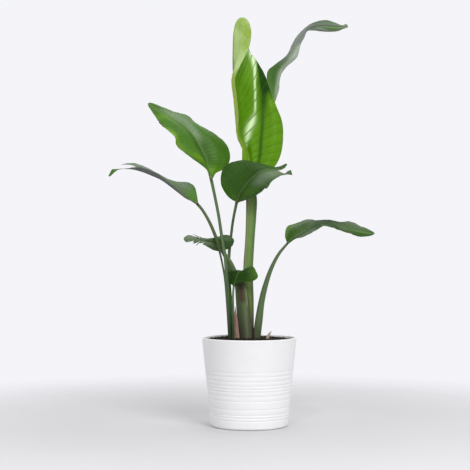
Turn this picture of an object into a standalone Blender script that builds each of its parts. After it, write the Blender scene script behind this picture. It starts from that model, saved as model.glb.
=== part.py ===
"""Potted bird of paradise: a ribbed white pot, soil, and eight leaves on grooved stalks.

World frame: metres, +Z up, origin at the centre of the pot's flat base, +Y away from the front.
The plant's own numbers are in millimetres, in the same frame, and MM turns them into metres.
"""
import math

import bpy
import bmesh
from mathutils import Vector

MM = 0.001
GAP = 0.0003            # clearance between pieces that touch

# pot, metres
POT_HEIGHT = 0.260
RIM_RADIUS = 0.140
FOOT_RADIUS = 0.1135
WALL = 0.006
FLOOR = 0.007
FOOT_ROUND = 0.007
SEGMENTS = 40           # sides of the pot and of the soil
GROOVE_DEPTH = 0.0009
UPPER_GROOVES = (0.166, 0.1535, 0.139, 0.1275, 0.118, 0.110, 0.097, 0.082)
LOWER_GROOVES = (0.060, 0.042, 0.0345, 0.0255)

# soil, metres
SOIL_EDGE = 0.2505      # height where it meets the wall
SOIL_CROWN = 0.2545     # height round the stalks
CLOD = 0.0012           # height of the clods
SOCKET_FLOOR = 0.238    # the stalks stand this deep in the soil

# leaves, millimetres
SHEET = 1.6             # thickness of a blade away from its midrib
STEPS = 2               # rows made between two stations of a blade, after the first two
STALK_SIDES = 12
NECK_GAP = 0.3          # from the top of a stalk to its blade

# A blade is a list of stations from its base to its tip: midrib, left margin, right margin.
# Left and right are as seen from the upper side of the leaf with the tip pointing away.
TALL_BLADE = (
    ((4, 14, 701), (-9, 6, 701), (19, 8, 701)),
    ((4, 16, 755), (-8, -2, 762), (60, 18, 745)),
    ((-4, 16, 806), (-12, -24, 823), (90, 22, 788)),
    ((-22, 14, 850), (-34, -42, 857), (102, 24, 842)),
    ((-36, 12, 903), (-32, -50, 906), (99, 24, 898)),
    ((-41, 10, 962), (-36, -50, 961), (78, 22, 956)),
    ((-44, 8, 1021), (-42, -44, 1018), (53, 24, 1026)),
    ((-46, 8, 1072), (-21, -30, 1070), (29, 26, 1075)),
    ((-46, 8, 1115), (0, -22, 1112), (2, 30, 1112)),
    ((-45, 8, 1155), (6, -19, 1155), (-2, 32, 1151)),
    ((-40, 8, 1186), (1, -12, 1187), (-5, 26, 1184)),
    ((-30, 6, 1206), (-9, -3, 1206), (-11, 13, 1205)),
)
TWISTED_BLADE = (
    ((74, 64, 963), (69, 62, 964), (79, 64, 964)),
    ((85, 70, 999), (56, 50, 1010), (92, 86, 1008)),
    ((95, 76, 1039), (55, 42, 1051), (95, 110, 1056)),
    ((106, 82, 1072), (79, 44, 1074), (120, 114, 1081)),
    ((123, 92, 1102), (111, 54, 1101), (148, 114, 1107)),
    ((143, 104, 1139), (133, 72, 1140), (155, 124, 1145)),
    ((160, 112, 1166), (150, 88, 1167), (168, 132, 1171)),
    ((175, 120, 1190), (172, 106, 1195), (179, 134, 1190)),
    ((200, 130, 1201), (199, 116, 1213), (202, 148, 1193)),
    ((234, 138, 1205), (236, 126, 1222), (237, 152, 1190)),
    ((265, 144, 1203), (266, 138, 1216), (270, 152, 1191)),
    ((288, 146, 1204), (287, 143, 1209), (293, 149, 1199)),
    ((305, 146, 1209), (302, 145, 1213), (307, 147, 1204)),
)
LEFT_BLADE = (
    ((-112, -39, 727), (-117, -40, 728), (-107, -38, 726)),
    ((-117, -41, 748), (-124, -52, 750), (-98, -28, 743)),
    ((-122, -42, 765), (-139, -72, 763), (-76, -8, 756)),
    ((-128, -44, 787), (-161, -94, 778), (-59, 0, 777)),
    ((-140, -46, 812), (-190, -104, 799), (-57, 4, 809)),
    ((-154, -49, 839), (-210, -106, 818), (-76, 2, 841)),
    ((-172, -52, 864), (-216, -104, 841), (-113, -4, 867)),
    ((-191, -55, 885), (-238, -98, 864), (-150, -14, 889)),
    ((-214, -58, 900), (-258, -90, 880), (-183, -26, 913)),
    ((-241, -61, 915), (-270, -82, 899), (-219, -42, 922)),
    ((-269, -64, 929), (-283, -74, 919), (-256, -55, 936)),
    ((-295, -66, 944), (-297, -67, 940), (-290, -65, 948)),
)
DROOPING_BLADE = (
    ((-154, -10, 655), (-157, -12, 652), (-151, -8, 658)),
    ((-165, -12, 662), (-175, -44, 664), (-155, 12, 681)),
    ((-185, -14, 671), (-199, -64, 685), (-163, 26, 707)),
    ((-207, -17, 687), (-222, -72, 706), (-182, 34, 719)),
    ((-233, -20, 707), (-248, -72, 726), (-217, 36, 723)),
    ((-259, -23, 725), (-274, -70, 742), (-251, 34, 734)),
    ((-286, -26, 737), (-298, -66, 753), (-283, 30, 752)),
    ((-312, -29, 747), (-321, -62, 759), (-310, 24, 766)),
    ((-338, -32, 754), (-347, -60, 756), (-336, 10, 774)),
    ((-364, -35, 756), (-374, -56, 750), (-361, -6, 774)),
    ((-387, -38, 753), (-398, -50, 741), (-378, -20, 769)),
)
CENTRE_BLADE = (
    ((-37, -24, 659), (-42, -24, 659), (-32, -25, 658)),
    ((-32, -28, 670), (-64, -22, 676), (-17, -50, 661)),
    ((-26, -34, 685), (-81, -20, 704), (0, -76, 667)),
    ((-16, -42, 700), (-84, -20, 735), (17, -96, 674)),
    ((-3, -50, 716), (-76, -22, 759), (33, -108, 683)),
    ((12, -57, 732), (-51, -26, 776), (48, -112, 697)),
    ((28, -61, 746), (-17, -32, 781), (64, -108, 714)),
    ((48, -61, 752), (18, -38, 776), (79, -96, 725)),
    ((70, -56, 751), (50, -42, 763), (93, -80, 733)),
    ((92, -48, 751), (82, -42, 761), (108, -62, 737)),
    ((113, -38, 756), (106, -38, 768), (121, -42, 747)),
)
TORN_BLADE = (
    ((-88, -2, 515), (-91, -3, 514), (-85, -1, 515)),
    ((-91, 0, 525), (-106, -4, 517), (-58, 4, 522)),
    ((-100, 2, 534), (-120, -14, 525), (-46, 6, 537)),
    ((-111, 0, 540), (-133, -22, 532), (-47, 8, 552)),
    ((-126, -4, 543), (-145, -26, 538), (-69, 10, 563)),
    ((-145, -9, 546), (-157, -26, 540), (-116, 8, 552)),
    ((-166, -13, 548), (-174, -24, 539), (-151, 0, 557)),
    ((-182, -16, 550), (-184, -20, 541), (-177, -8, 561)),
    ((-193, -18, 551), (-193, -19, 546), (-191, -16, 557)),
)
LOW_BLADE = (
    ((-46, -37, 413), (-49, -36, 413), (-43, -38, 413)),
    ((-43, -40, 421), (-60, -22, 425), (-18, -54, 424)),
    ((-40, -43, 432), (-63, -14, 436), (9, -60, 427)),
    ((-36, -46, 443), (-63, -14, 448), (25, -58, 439)),
    ((-31, -47, 452), (-58, -21, 455), (19, -51, 458)),
    ((-24, -43, 456), (-42, -30, 456), (10, -43, 470)),
    ((-14, -38, 455), (-27, -31, 454), (2, -38, 461)),
    ((-6, -33, 452), (-11, -32, 451), (-3, -34, 453)),
)
RIGHT_BLADE = (
    ((112, -20, 538), (110, -17, 541), (114, -23, 535)),
    ((123, -22, 546), (106, 6, 562), (135, -48, 550)),
    ((140, -24, 559), (114, 26, 588), (155, -72, 555)),
    ((162, -26, 571), (142, 34, 598), (175, -80, 565)),
    ((182, -28, 582), (171, 36, 608), (195, -82, 576)),
    ((204, -30, 590), (206, 36, 605), (217, -82, 586)),
    ((231, -32, 592), (237, 34, 605), (240, -80, 582)),
    ((260, -33, 585), (269, 30, 601), (265, -76, 573)),
    ((289, -34, 578), (302, 22, 602), (290, -70, 565)),
    ((318, -35, 572), (330, 6, 589), (317, -60, 557)),
    ((344, -36, 567), (352, -14, 578), (343, -48, 557)),
    ((367, -36, 565), (367, -34, 569), (365, -37, 562)),
)

# Swell of a half blade: share of the way to the margin, and height on the upper side in mm
# where the blade lies open. Where the halves fold together they are flatter.
PLAIN_SWELL = ((0.0, 0), (0.5, 9), (1.0, 0))
FLAT_SWELL = ((0.0, 0), (0.5, 4), (1.0, 0))
TALL_LEFT_SWELL = ((0.0, 0), (0.5, -17), (1.0, 0))

# The right half of the tall blade is folded. Each row is a place along the blade, the share of the
# way to the margin of the crest and of the valley, and heights of crest, valley and outer lobe.
TALL_FOLDS = (
    (0.00, 0.12, 0.32, 8, 2, 10), (0.14, 0.13, 0.38, 16, 2, 16), (0.23, 0.19, 0.48, 20, 3, 18),
    (0.30, 0.29, 0.56, 24, 4, 18), (0.42, 0.48, 0.70, 26, 6, 14), (0.49, 0.58, 0.84, 26, 8, 10),
    (0.56, 0.72, 0.94, 22, 4, 4), (0.61, 0.80, 0.97, 14, 2, 2), (1.00, 0.85, 0.98, 0, 0, 0),
)

# name: stations, left swell, right swell, shares across a half, midrib thickness at the base
HALF = (0.12, 0.4, 0.7, 1.0)
WAVY_HALF = (0.1, 0.22, 0.34, 0.46, 0.58, 0.7, 0.82, 0.92, 1.0)
BLADES = {
    "tall_leaf_blade": (TALL_BLADE, TALL_LEFT_SWELL, TALL_FOLDS, WAVY_HALF, 12),
    "twisted_leaf_blade": (TWISTED_BLADE, FLAT_SWELL, FLAT_SWELL, HALF, 5),
    "left_leaf_blade": (LEFT_BLADE, PLAIN_SWELL, PLAIN_SWELL, HALF, 5),
    "drooping_leaf_blade": (DROOPING_BLADE, FLAT_SWELL, FLAT_SWELL, HALF, 5),
    "centre_leaf_blade": (CENTRE_BLADE, PLAIN_SWELL, PLAIN_SWELL, HALF, 5),
    "torn_leaf_blade": (TORN_BLADE, FLAT_SWELL, FLAT_SWELL, HALF, 4),
    "low_leaf_blade": (LOW_BLADE, FLAT_SWELL, FLAT_SWELL, HALF, 4),
    "right_leaf_blade": (RIGHT_BLADE, PLAIN_SWELL, PLAIN_SWELL, HALF, 5),
}

# name: direction that the groove faces, rings (x, y, z, width, depth, groove) in mm, and the
# width, depth and groove of the neck, which meets the blade.
# A groove of 0 is a plain oval, and one near 1 is a gutter that wraps other stalks.
STALKS = {
    "tall_leaf_stalk": ((0.1, -1, 0), (
        (4, 7, 238.3, 20, 19, 0.1), (4, 7, 267, 20, 19, 0.1), (2, 5, 368, 23, 21, 0.2),
        (-1, 4, 413, 26, 22, 0.3), (-3, 4, 463, 29, 23, 0.4), (2, 6, 547, 28, 22, 0.45),
        (6, 10, 620, 31, 22, 0.45), (7, 12, 665, 33, 22, 0.45)), (29, 20, 0.4)),
    "twisted_leaf_stalk": ((0.6, -0.8, 0), (
        (-13, 4, 238.3, 9, 9, 0), (-13, 4, 267, 9, 9, 0), (-18, 4, 340, 11, 11, 0),
        (-18.5, 8, 385, 11, 11, 0), (-17, 20, 418, 11, 11, 0.1), (-8, 28, 463, 12, 11, 0.3),
        (3, 31, 560, 12, 11, 0.35), (10, 37, 680, 12, 10, 0.35), (22, 44, 787, 11, 9, 0.35),
        (43, 54, 877, 10, 9, 0.35)), (10, 8, 0.35)),
    "left_leaf_stalk": ((0.7, -0.7, 0.1), (
        (-54, -20, 238.3, 11, 11, 0.1), (-54, -20, 267, 11, 11, 0.1), (-60, -24, 355, 11, 11, 0.3),
        (-66, -28, 435, 11, 10, 0.4), (-70, -30, 494, 11, 10, 0.4), (-79, -32, 547, 10.5, 9, 0.4),
        (-89, -34, 614, 10, 9, 0.4), (-101, -37, 676, 10, 8, 0.4)),
        (11, 8, 0.35)),
    "drooping_leaf_stalk": ((0.5, 0.86, 0), (
        (-10, -6, 238.3, 44, 25, 0.84), (-10, -6, 267, 44, 25, 0.84), (-15, -6, 314, 46, 25, 0.84),
        (-20, -6, 368, 43, 25, 0.84), (-24, -8, 404, 39, 24, 0.82), (-33, -12, 430, 29, 20, 0.7),
        (-46, -13, 455, 21, 16, 0.55), (-57, -14, 479, 18, 14, 0.45), (-70, -14.5, 500, 14, 11, 0.4),
        (-88, -14, 531, 11, 9, 0.4), (-113, -12, 591, 10, 8, 0.4), (-135, -11, 631, 9, 7, 0.4)),
        (9, 7, 0.35)),
    "centre_leaf_stalk": ((-0.3, -0.95, 0), (
        (-52, 6, 238.3, 8, 8, 0), (-52, 6, 267, 8, 8, 0), (-53, 8, 340, 8, 8, 0.3),
        (-57, 12, 420, 8, 7, 0.35), (-58, 15, 480, 8, 7, 0.35), (-57, 17, 517, 8, 7, 0.35),
        (-54, 17, 557, 8, 7, 0.35), (-50, 6, 590, 8, 7, 0.35), (-45, -10, 620, 8, 7, 0.35)),
        (9, 7, 0.35)),
    "torn_leaf_stalk": ((0.5, -0.8, 0.3), (
        (-60, -6, 238.3, 6, 6, 0), (-60, -6, 267, 6, 6, 0), (-65, -6, 350, 6, 6, 0.3),
        (-71, -5, 425, 6, 5, 0.35), (-79, -4, 475, 6, 5, 0.35)),
        (6, 5, 0.3)),
    "low_leaf_stalk": ((0, -1, 0), (
        (-47, -31, 238.3, 7, 7, 0), (-47, -31, 267, 7, 7, 0), (-48, -33, 330, 7, 7, 0.3),
        (-48, -35, 380, 6.5, 6, 0.35)), (6, 5, 0.3)),
    "right_leaf_stalk": ((-0.9, -0.3, 0.1), (
        (22, -12, 238.3, 15, 26, 0.1), (22, -12, 267, 15, 26, 0.1), (27, -12, 314, 15, 27, 0.15),
        (33.5, -12, 363, 14, 24, 0.25), (45, -13, 412, 12, 21, 0.3), (62, -15, 461, 11, 16, 0.35),
        (85, -17, 505, 9.5, 12, 0.35)), (9, 8, 0.35)),
}
# one socket in the soil for the three stalks of the middle shoot: x, y, half width, half depth
SHOOT_SOCKET = (-2, 0, 29, 24)
SHOOT_STALKS = ("tall_leaf_stalk", "twisted_leaf_stalk", "drooping_leaf_stalk")

# dry pieces at the foot of the plant: facing, and rings as for the stalks
DRY_PIECES = {
    "dry_sheath": ((0.3, -0.95, 0), (
        (-40.5, -10, 238.3, 11, 2.6, 0.2), (-40.5, -10, 267, 11, 2.6, 0.2),
        (-41, -11, 290, 9, 2.4, 0.3), (-41.5, -12, 315, 6, 2.2, 0.3), (-41, -13, 338, 2, 1.6, 0)), None),
    "dry_stub": ((0, -1, 0.3), (
        (54, -22, 238.3, 7, 5, 0), (54, -22, 264, 7, 5, 0.1), (58, -22, 271, 6, 4, 0.3),
        (65, -22, 279, 2, 1.6, 0)), None),
}

# colour, roughness
COLOURS = {
    "pot": ((0.80, 0.80, 0.81), 0.35),
    "soil": ((0.022, 0.014, 0.010), 0.95),
    "tall_leaf_blade": ((0.12, 0.30, 0.02), 0.4),
    "twisted_leaf_blade": ((0.10, 0.17, 0.08), 0.5),
    "left_leaf_blade": ((0.07, 0.19, 0.03), 0.45),
    "drooping_leaf_blade": ((0.13, 0.18, 0.11), 0.55),
    "centre_leaf_blade": ((0.04, 0.10, 0.03), 0.45),
    "torn_leaf_blade": ((0.05, 0.10, 0.06), 0.55),
    "low_leaf_blade": ((0.04, 0.13, 0.01), 0.4),
    "right_leaf_blade": ((0.08, 0.19, 0.04), 0.45),
    "dry_sheath": ((0.45, 0.27, 0.22), 0.8),
    "dry_stub": ((0.40, 0.26, 0.14), 0.8),
}
STALK_COLOUR = ((0.10, 0.20, 0.05), 0.5)


def clear_scene():
    """Start from an empty scene."""
    for old in list(bpy.data.objects):
        bpy.data.objects.remove(old, do_unlink=True)


def collection(name):
    """A collection of the scene."""
    made = bpy.data.collections.new(name)
    bpy.context.scene.collection.children.link(made)
    return made


def material(name):
    """The Principled material of one piece."""
    colour, roughness = COLOURS.get(name, STALK_COLOUR)
    made = bpy.data.materials.new(name)
    made.use_nodes = True
    shader = made.node_tree.nodes["Principled BSDF"]
    shader.inputs["Base Color"].default_value = (*colour, 1.0)
    shader.inputs["Roughness"].default_value = roughness
    shader.inputs["Metallic"].default_value = 0.0
    return made


def add_object(name, mesh, group):
    """Put a mesh in the scene as one named piece with its own material."""
    mesh.shade_smooth()
    mesh.set_sharp_from_angle(angle=math.radians(50))
    mesh.materials.append(material(name))
    piece = bpy.data.objects.new(name, mesh)
    group.objects.link(piece)
    return piece


def smooth_point(points, at):
    """The point of a Catmull-Rom curve through points, where at counts spans from the first."""
    span = min(int(at), len(points) - 2)
    f = at - span
    p1, p2 = Vector(points[span]), Vector(points[span + 1])
    p0 = Vector(points[span - 1]) if span > 0 else 2 * p1 - p2
    p3 = Vector(points[span + 2]) if span + 2 < len(points) else 2 * p2 - p1
    bend = 2 * p0 - 5 * p1 + 4 * p2 - p3
    twist = 3 * p1 - p0 - 3 * p2 + p3
    return 0.5 * (2 * p1 + f * (p2 - p0) + f * f * bend + f * f * f * twist)


def turned(name, profile, segments, group):
    """A closed turned body from a profile that runs down its outer side."""
    mesh = bpy.data.meshes.new(name)
    mesh.from_pydata([(r, 0, z) for r, z in profile],
                     [(i, i + 1) for i in range(len(profile) - 1)], [])
    piece = add_object(name, mesh, group)
    screw = piece.modifiers.new("Turn", 'SCREW')
    screw.steps = segments
    screw.render_steps = segments
    screw.use_merge_vertices = True
    screw.merge_threshold = 0.00005
    screw.use_smooth_shade = True
    return piece


def wall_radius(z):
    """Outer radius of the pot at a height."""
    return FOOT_RADIUS + (RIM_RADIUS - FOOT_RADIUS) * z / POT_HEIGHT


def ribbed(grooves):
    """Points down a band of rounded ribs with a shallow groove at each height."""
    points = []
    for upper, lower in zip(grooves, grooves[1:] + (None,)):
        points.append((wall_radius(upper) - GROOVE_DEPTH, upper))
        if lower is not None:
            middle = (upper + lower) / 2
            points.append((wall_radius(middle), middle))
    return points


def make_pot(group):
    """The pot: a tapered turned shell with a rounded rim and two bands of ribs."""
    lip = WALL / 2
    inner_foot = wall_radius(FLOOR) - WALL
    rib_edge = 0.003
    profile = [
        (0, FLOOR), (inner_foot - 0.006, FLOOR), (inner_foot, FLOOR + 0.006),
        (RIM_RADIUS - WALL, POT_HEIGHT - lip),
        (RIM_RADIUS - WALL + 0.3 * lip, POT_HEIGHT - 0.3 * lip),
        (RIM_RADIUS - lip, POT_HEIGHT), (RIM_RADIUS - 0.3 * lip, POT_HEIGHT - 0.3 * lip),
        (RIM_RADIUS, POT_HEIGHT - lip),
    ]
    for band in (UPPER_GROOVES, LOWER_GROOVES):
        above = band[0] + rib_edge
        below = band[-1] - rib_edge
        profile.append((wall_radius(above), above))
        profile += ribbed(band)
        profile.append((wall_radius(below), below))
    profile += [
        (wall_radius(FOOT_ROUND), FOOT_ROUND),
        (FOOT_RADIUS - 0.3 * FOOT_ROUND, 0.3 * FOOT_ROUND),
        (FOOT_RADIUS - FOOT_ROUND, 0), (0, 0),
    ]
    return turned("pot", profile, SEGMENTS, group)


def clods(x, y):
    """Height of the loose soil above its even mound."""
    waves = math.sin(310 * x + 1) * math.cos(270 * y) + 0.6 * math.sin(520 * y + 410 * x)
    return CLOD * waves


def make_soil(group):
    """The soil: fills the pot, mounded towards the stalks, with uneven clods on top."""
    inner = WALL + GAP
    foot = wall_radius(FLOOR) - inner
    edge = wall_radius(SOIL_EDGE) - inner
    rise = SOIL_CROWN - SOIL_EDGE
    rings = 5
    profile = [(0, SOIL_CROWN)]
    for ring in range(1, rings + 1):
        share = ring / rings
        profile.append((edge * share, SOIL_EDGE + rise * (1 - share ** 3)))
    profile += [(foot, FLOOR + 0.006 + GAP), (foot - 0.006, FLOOR + GAP), (0, FLOOR + GAP)]
    drum = turned("soil_drum", profile, SEGMENTS, group)
    solid = bpy.data.meshes.new_from_object(
        drum.evaluated_get(bpy.context.evaluated_depsgraph_get()))
    bpy.data.objects.remove(drum, do_unlink=True)
    solid.materials.clear()
    for vertex in solid.vertices:
        if vertex.co.z > SOIL_EDGE + GAP:
            vertex.co.z += clods(vertex.co.x, vertex.co.y)
    return add_object("soil", solid, group)


def cut(piece, cutter):
    """Take the cutter's shape out of a piece."""
    cutter.hide_render = True
    cutter.display_type = 'WIRE'
    boolean = piece.modifiers.new("Socket", 'BOOLEAN')
    boolean.operation = 'DIFFERENCE'
    boolean.solver = 'EXACT'
    boolean.object = cutter


def loft(name, rings, group):
    """A closed solid through rings of points, with a flat cap on each end."""
    shape = bmesh.new()
    rows = [[shape.verts.new(point * MM) for point in ring] for ring in rings]
    count = len(rows[0])
    for low, high in zip(rows, rows[1:]):
        for i in range(count):
            j = (i + 1) % count
            shape.faces.new((low[i], low[j], high[j], high[i]))
    shape.faces.new(list(reversed(rows[0])))
    shape.faces.new(rows[-1])
    bmesh.ops.recalc_face_normals(shape, faces=shape.faces)
    mesh = bpy.data.meshes.new(name)
    shape.to_mesh(mesh)
    shape.free()
    return add_object(name, mesh, group)


def stalk_ring(centre, along, facing, width, depth, groove, extra=0.0):
    """Points round one section of a stalk, hollowed on the side it faces."""
    across = along.cross(facing).normalized()
    out = across.cross(along).normalized()
    points = []
    for i in range(STALK_SIDES):
        angle = 2 * math.pi * i / STALK_SIDES
        lift = math.sin(angle)
        if lift > 0:
            lift *= 1 - 2 * groove * lift
        side = (width / 2 + extra) * math.cos(angle)
        points.append(centre + across * side + out * (depth / 2 + extra) * lift)
    return points


def blade_base(stations):
    """Where a blade starts, and its direction there."""
    base = Vector(stations[0][0])
    return base, (smooth_point([s[0] for s in stations], 0.02) - base).normalized()


def make_stalk(name, facing, rings, neck, group):
    """A grooved stalk lofted through its sections, standing upright in its socket."""
    facing = Vector(facing)
    rings = list(rings)
    if neck:
        base, onward = blade_base(BLADES[name.replace("stalk", "blade")][0])
        rings.append((*(base - onward * NECK_GAP), *neck))
    places = [Vector(ring[:3]) for ring in rings]
    made = []
    for i, ring in enumerate(rings):
        along = Vector((0, 0, 1))
        if neck and i == len(rings) - 1:
            along = onward
        elif i > 1:
            along = (places[min(i + 1, len(places) - 1)] - places[i - 1]).normalized()
        made.append(stalk_ring(places[i], along, facing, *ring[3:]))
    return loft(name, made, group)


def make_socket(name, facing, ring, cutters):
    """The cutter of a stalk's socket: its own outline, grown by the clearance."""
    x, y, _, width, depth, _ = ring
    up = Vector((0, 0, 1))
    made = [stalk_ring(Vector((x, y, z)), up, Vector(facing), width, depth, 0.0, GAP / MM)
            for z in (SOCKET_FLOOR / MM, SOIL_CROWN / MM + 20)]
    return loft(name, made, cutters)


def fold_height(folds, along, share):
    """Height of a half blade whose crest, valley and outer lobe drift along it."""
    low = max(i for i in range(len(folds) - 1) if folds[i][0] <= along)
    f = (along - folds[low][0]) / (folds[low + 1][0] - folds[low][0])
    crest, valley, *heights = (a + (b - a) * f for a, b in zip(folds[low][1:], folds[low + 1][1:]))
    knots = (0, crest, valley, (1 + valley) / 2, 1)
    heights = (0, *heights, 0)
    total = 0
    for start, end, before, after in zip(knots, knots[1:], heights, heights[1:]):
        step = min(max((share - start) / (end - start), 0), 1)
        total += (after - before) * step * step * (3 - 2 * step)
    return total


def swell_height(swell, along, share):
    """Height of a half blade above the straight line from midrib to margin."""
    if len(swell[0]) > 2:
        return fold_height(swell, along, share)
    last = len(swell) - 2
    span = max(i for i in range(last + 1) if swell[i][0] <= share or i == 0)
    f = (share - swell[span][0]) / (swell[span + 1][0] - swell[span][0])
    return smooth_point([(height, 0, 0) for _, height in swell], span + f).x


def blade_row(stations, at, swells, shares):
    """Points across a blade at one place along it, and how thick the blade is at each."""
    mid, left, right = (smooth_point([s[k] for s in stations], at) for k in range(3))
    step = 0.02
    ends = [smooth_point([s[0] for s in stations], min(max(at + d, 0), len(stations) - 1))
            for d in (-step, step)]
    along = (ends[1] - ends[0]).normalized()
    run = min(at / (len(stations) - 1), 1)
    envelope = math.sin(math.pi * run) ** 0.7
    openness = ((right - mid).normalized() - (left - mid).normalized()).length / 2
    row = []
    for margin, side, swell in ((left, -1, swells[0]), (right, 1, swells[1])):
        reach = margin - mid
        upper = (reach * side).cross(along).normalized()
        lift = envelope * openness ** 2
        half = [mid + reach * s + upper * swell_height(swell, run, s) * lift for s in shares]
        row.append(half)
    return list(reversed(row[0])) + [mid] + row[1]


def make_blade(name, stations, left_swell, right_swell, half, rib, group):
    """A leaf blade: a thin sheet through its stations, with a midrib that thins to the tip."""
    steps = [0] + list(range(STEPS, (len(stations) - 1) * STEPS + 1))
    rows = [blade_row(stations, i / STEPS, (left_swell, right_swell), half) for i in steps]
    count = len(rows) - 1
    base, onward = blade_base(stations)
    rows[0] = [point - onward * (point - base).dot(onward) for point in rows[0]]
    middle = len(half)
    columns = len(rows[0])
    rings = []
    for i, row in enumerate(rows):
        before, after = rows[max(i - 1, 0)], rows[min(i + 1, count)]
        thick_rib = rib + (SHEET - rib) * (i / count) ** 0.7
        upper, lower = [], []
        for j, point in enumerate(row):
            span = row[min(j + 1, columns - 1)] - row[max(j - 1, 0)]
            ahead = onward if i == 0 else after[j] - before[j]
            normal = span.cross(ahead).normalized()
            below = max(thick_rib - (point - row[middle]).length, SHEET / 2)
            upper.append(point + normal * SHEET / 2)
            lower.append(point - normal * below)
        rings.append(upper + list(reversed(lower)))
    return loft(name, rings, group)


def main():
    """Build the pot, the soil and the plant."""
    clear_scene()
    parts = collection("Potted_bird_of_paradise")
    cutters = collection("Cutters")
    make_pot(parts)
    soil = make_soil(parts)
    for name, (facing, rings, neck) in {**STALKS, **DRY_PIECES}.items():
        make_stalk(name, facing, rings, neck, parts)
        if name not in SHOOT_STALKS:
            cut(soil, make_socket(name + "_socket", facing, rings[0], cutters))
    x, y, width, depth = SHOOT_SOCKET
    shoot_ring = (x, y, 0, 2 * width, 2 * depth, 0)
    cut(soil, make_socket("shoot_socket", (0, 1, 0), shoot_ring, cutters))
    for name, (stations, left_swell, right_swell, half, rib) in BLADES.items():
        make_blade(name, stations, left_swell, right_swell, half, rib, parts)


main()
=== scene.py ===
"""Potted bird of paradise: the finished looks of the plant, its soil and its ribbed pot.

Metres, +Z up, origin at the centre of the pot's flat base, +Y away from the front of the plant.
The plant's own numbers are in millimetres, in the same frame, and MM turns them into metres.
"""
import math
from collections import namedtuple

import bpy
import numpy as np
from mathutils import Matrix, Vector


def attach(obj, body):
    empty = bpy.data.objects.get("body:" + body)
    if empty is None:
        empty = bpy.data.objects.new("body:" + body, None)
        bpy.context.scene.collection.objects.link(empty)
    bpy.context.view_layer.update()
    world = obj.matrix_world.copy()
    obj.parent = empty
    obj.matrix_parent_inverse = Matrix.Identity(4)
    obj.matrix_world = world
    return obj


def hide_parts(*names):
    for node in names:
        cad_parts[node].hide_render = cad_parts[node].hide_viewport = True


bl_info = {
    "name": "Potted Bird of Paradise",
    "version": (1, 0, 0),
    "blender": (4, 5, 0),
    "location": "View3D > Sidebar > Plant",
    "description": "Builds a potted bird of paradise with its soil, pot and a plain stage",
    "category": "Object",
}

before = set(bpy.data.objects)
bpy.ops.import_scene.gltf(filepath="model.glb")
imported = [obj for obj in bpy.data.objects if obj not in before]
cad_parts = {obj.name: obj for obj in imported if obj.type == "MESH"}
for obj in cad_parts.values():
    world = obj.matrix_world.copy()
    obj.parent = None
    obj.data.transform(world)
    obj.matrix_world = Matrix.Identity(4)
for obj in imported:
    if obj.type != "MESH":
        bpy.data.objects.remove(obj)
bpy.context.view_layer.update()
BODY = "root"
MM = 0.001

# ---------------------------------------------------------------------------------------------
# The plant's design numbers, in millimetres

# A blade is a list of stations from its base to its tip: midrib, left margin, right margin.
# Left and right are those of someone who looks along the blade at its upper side.
TALL_BLADE = (
    ((4, 14, 701), (-9, 6, 701), (19, 8, 701)),
    ((4, 16, 755), (-20, -2, 762), (60, 18, 745)),
    ((-4, 16, 806), (-22, -24, 823), (90, 22, 788)),
    ((-22, 14, 850), (-34, -42, 857), (102, 24, 842)),
    ((-36, 12, 903), (-32, -50, 906), (99, 24, 898)),
    ((-41, 10, 962), (-36, -50, 961), (78, 22, 956)),
    ((-44, 8, 1021), (-42, -44, 1018), (53, 24, 1026)),
    ((-46, 8, 1072), (-21, -30, 1070), (29, 26, 1075)),
    ((-46, 8, 1115), (0, -22, 1112), (2, 30, 1112)),
    ((-45, 8, 1155), (6, -19, 1155), (-2, 32, 1151)),
    ((-40, 8, 1186), (1, -12, 1187), (-5, 26, 1184)),
    ((-31, 6, 1202), (-10, -3, 1203), (-12, 12, 1202)),
    ((-21, 5, 1208), (-20, 4, 1208), (-21, 6, 1208)),
)
TWISTED_BLADE = (
    ((74, 64, 963), (69, 62, 964), (79, 64, 964)),
    ((85, 70, 999), (56, 50, 1010), (92, 86, 1008)),
    ((95, 76, 1039), (55, 42, 1051), (95, 110, 1056)),
    ((106, 82, 1072), (79, 44, 1074), (120, 114, 1081)),
    ((123, 92, 1102), (111, 54, 1101), (148, 114, 1107)),
    ((143, 104, 1139), (130, 72, 1139), (158, 124, 1144)),
    ((160, 112, 1166), (146, 88, 1166), (172, 132, 1170)),
    ((175, 120, 1190), (172, 106, 1195), (179, 134, 1190)),
    ((200, 130, 1201), (199, 116, 1213), (202, 148, 1193)),
    ((234, 138, 1205), (236, 126, 1222), (237, 152, 1190)),
    ((265, 144, 1203), (266, 138, 1216), (270, 152, 1191)),
    ((288, 146, 1204), (287, 143, 1209), (293, 149, 1199)),
    ((305, 146, 1209), (301, 145, 1214), (307, 147, 1203)),
)
LEFT_BLADE = (
    ((-112, -39, 727), (-117, -40, 728), (-107, -38, 726)),
    ((-117, -41, 748), (-124, -52, 750), (-98, -28, 743)),
    ((-122, -42, 765), (-139, -72, 763), (-76, -8, 756)),
    ((-128, -44, 787), (-161, -94, 778), (-59, 0, 777)),
    ((-140, -46, 812), (-190, -104, 799), (-57, 4, 809)),
    ((-154, -49, 839), (-210, -106, 818), (-76, 2, 841)),
    ((-172, -52, 864), (-216, -104, 841), (-113, -4, 867)),
    ((-191, -55, 885), (-238, -98, 864), (-150, -14, 889)),
    ((-214, -58, 900), (-258, -90, 880), (-183, -26, 913)),
    ((-241, -61, 915), (-270, -82, 899), (-219, -42, 922)),
    ((-269, -64, 929), (-283, -74, 919), (-256, -55, 936)),
    ((-295, -66, 944), (-297, -67, 940), (-290, -65, 948)),
)
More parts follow.
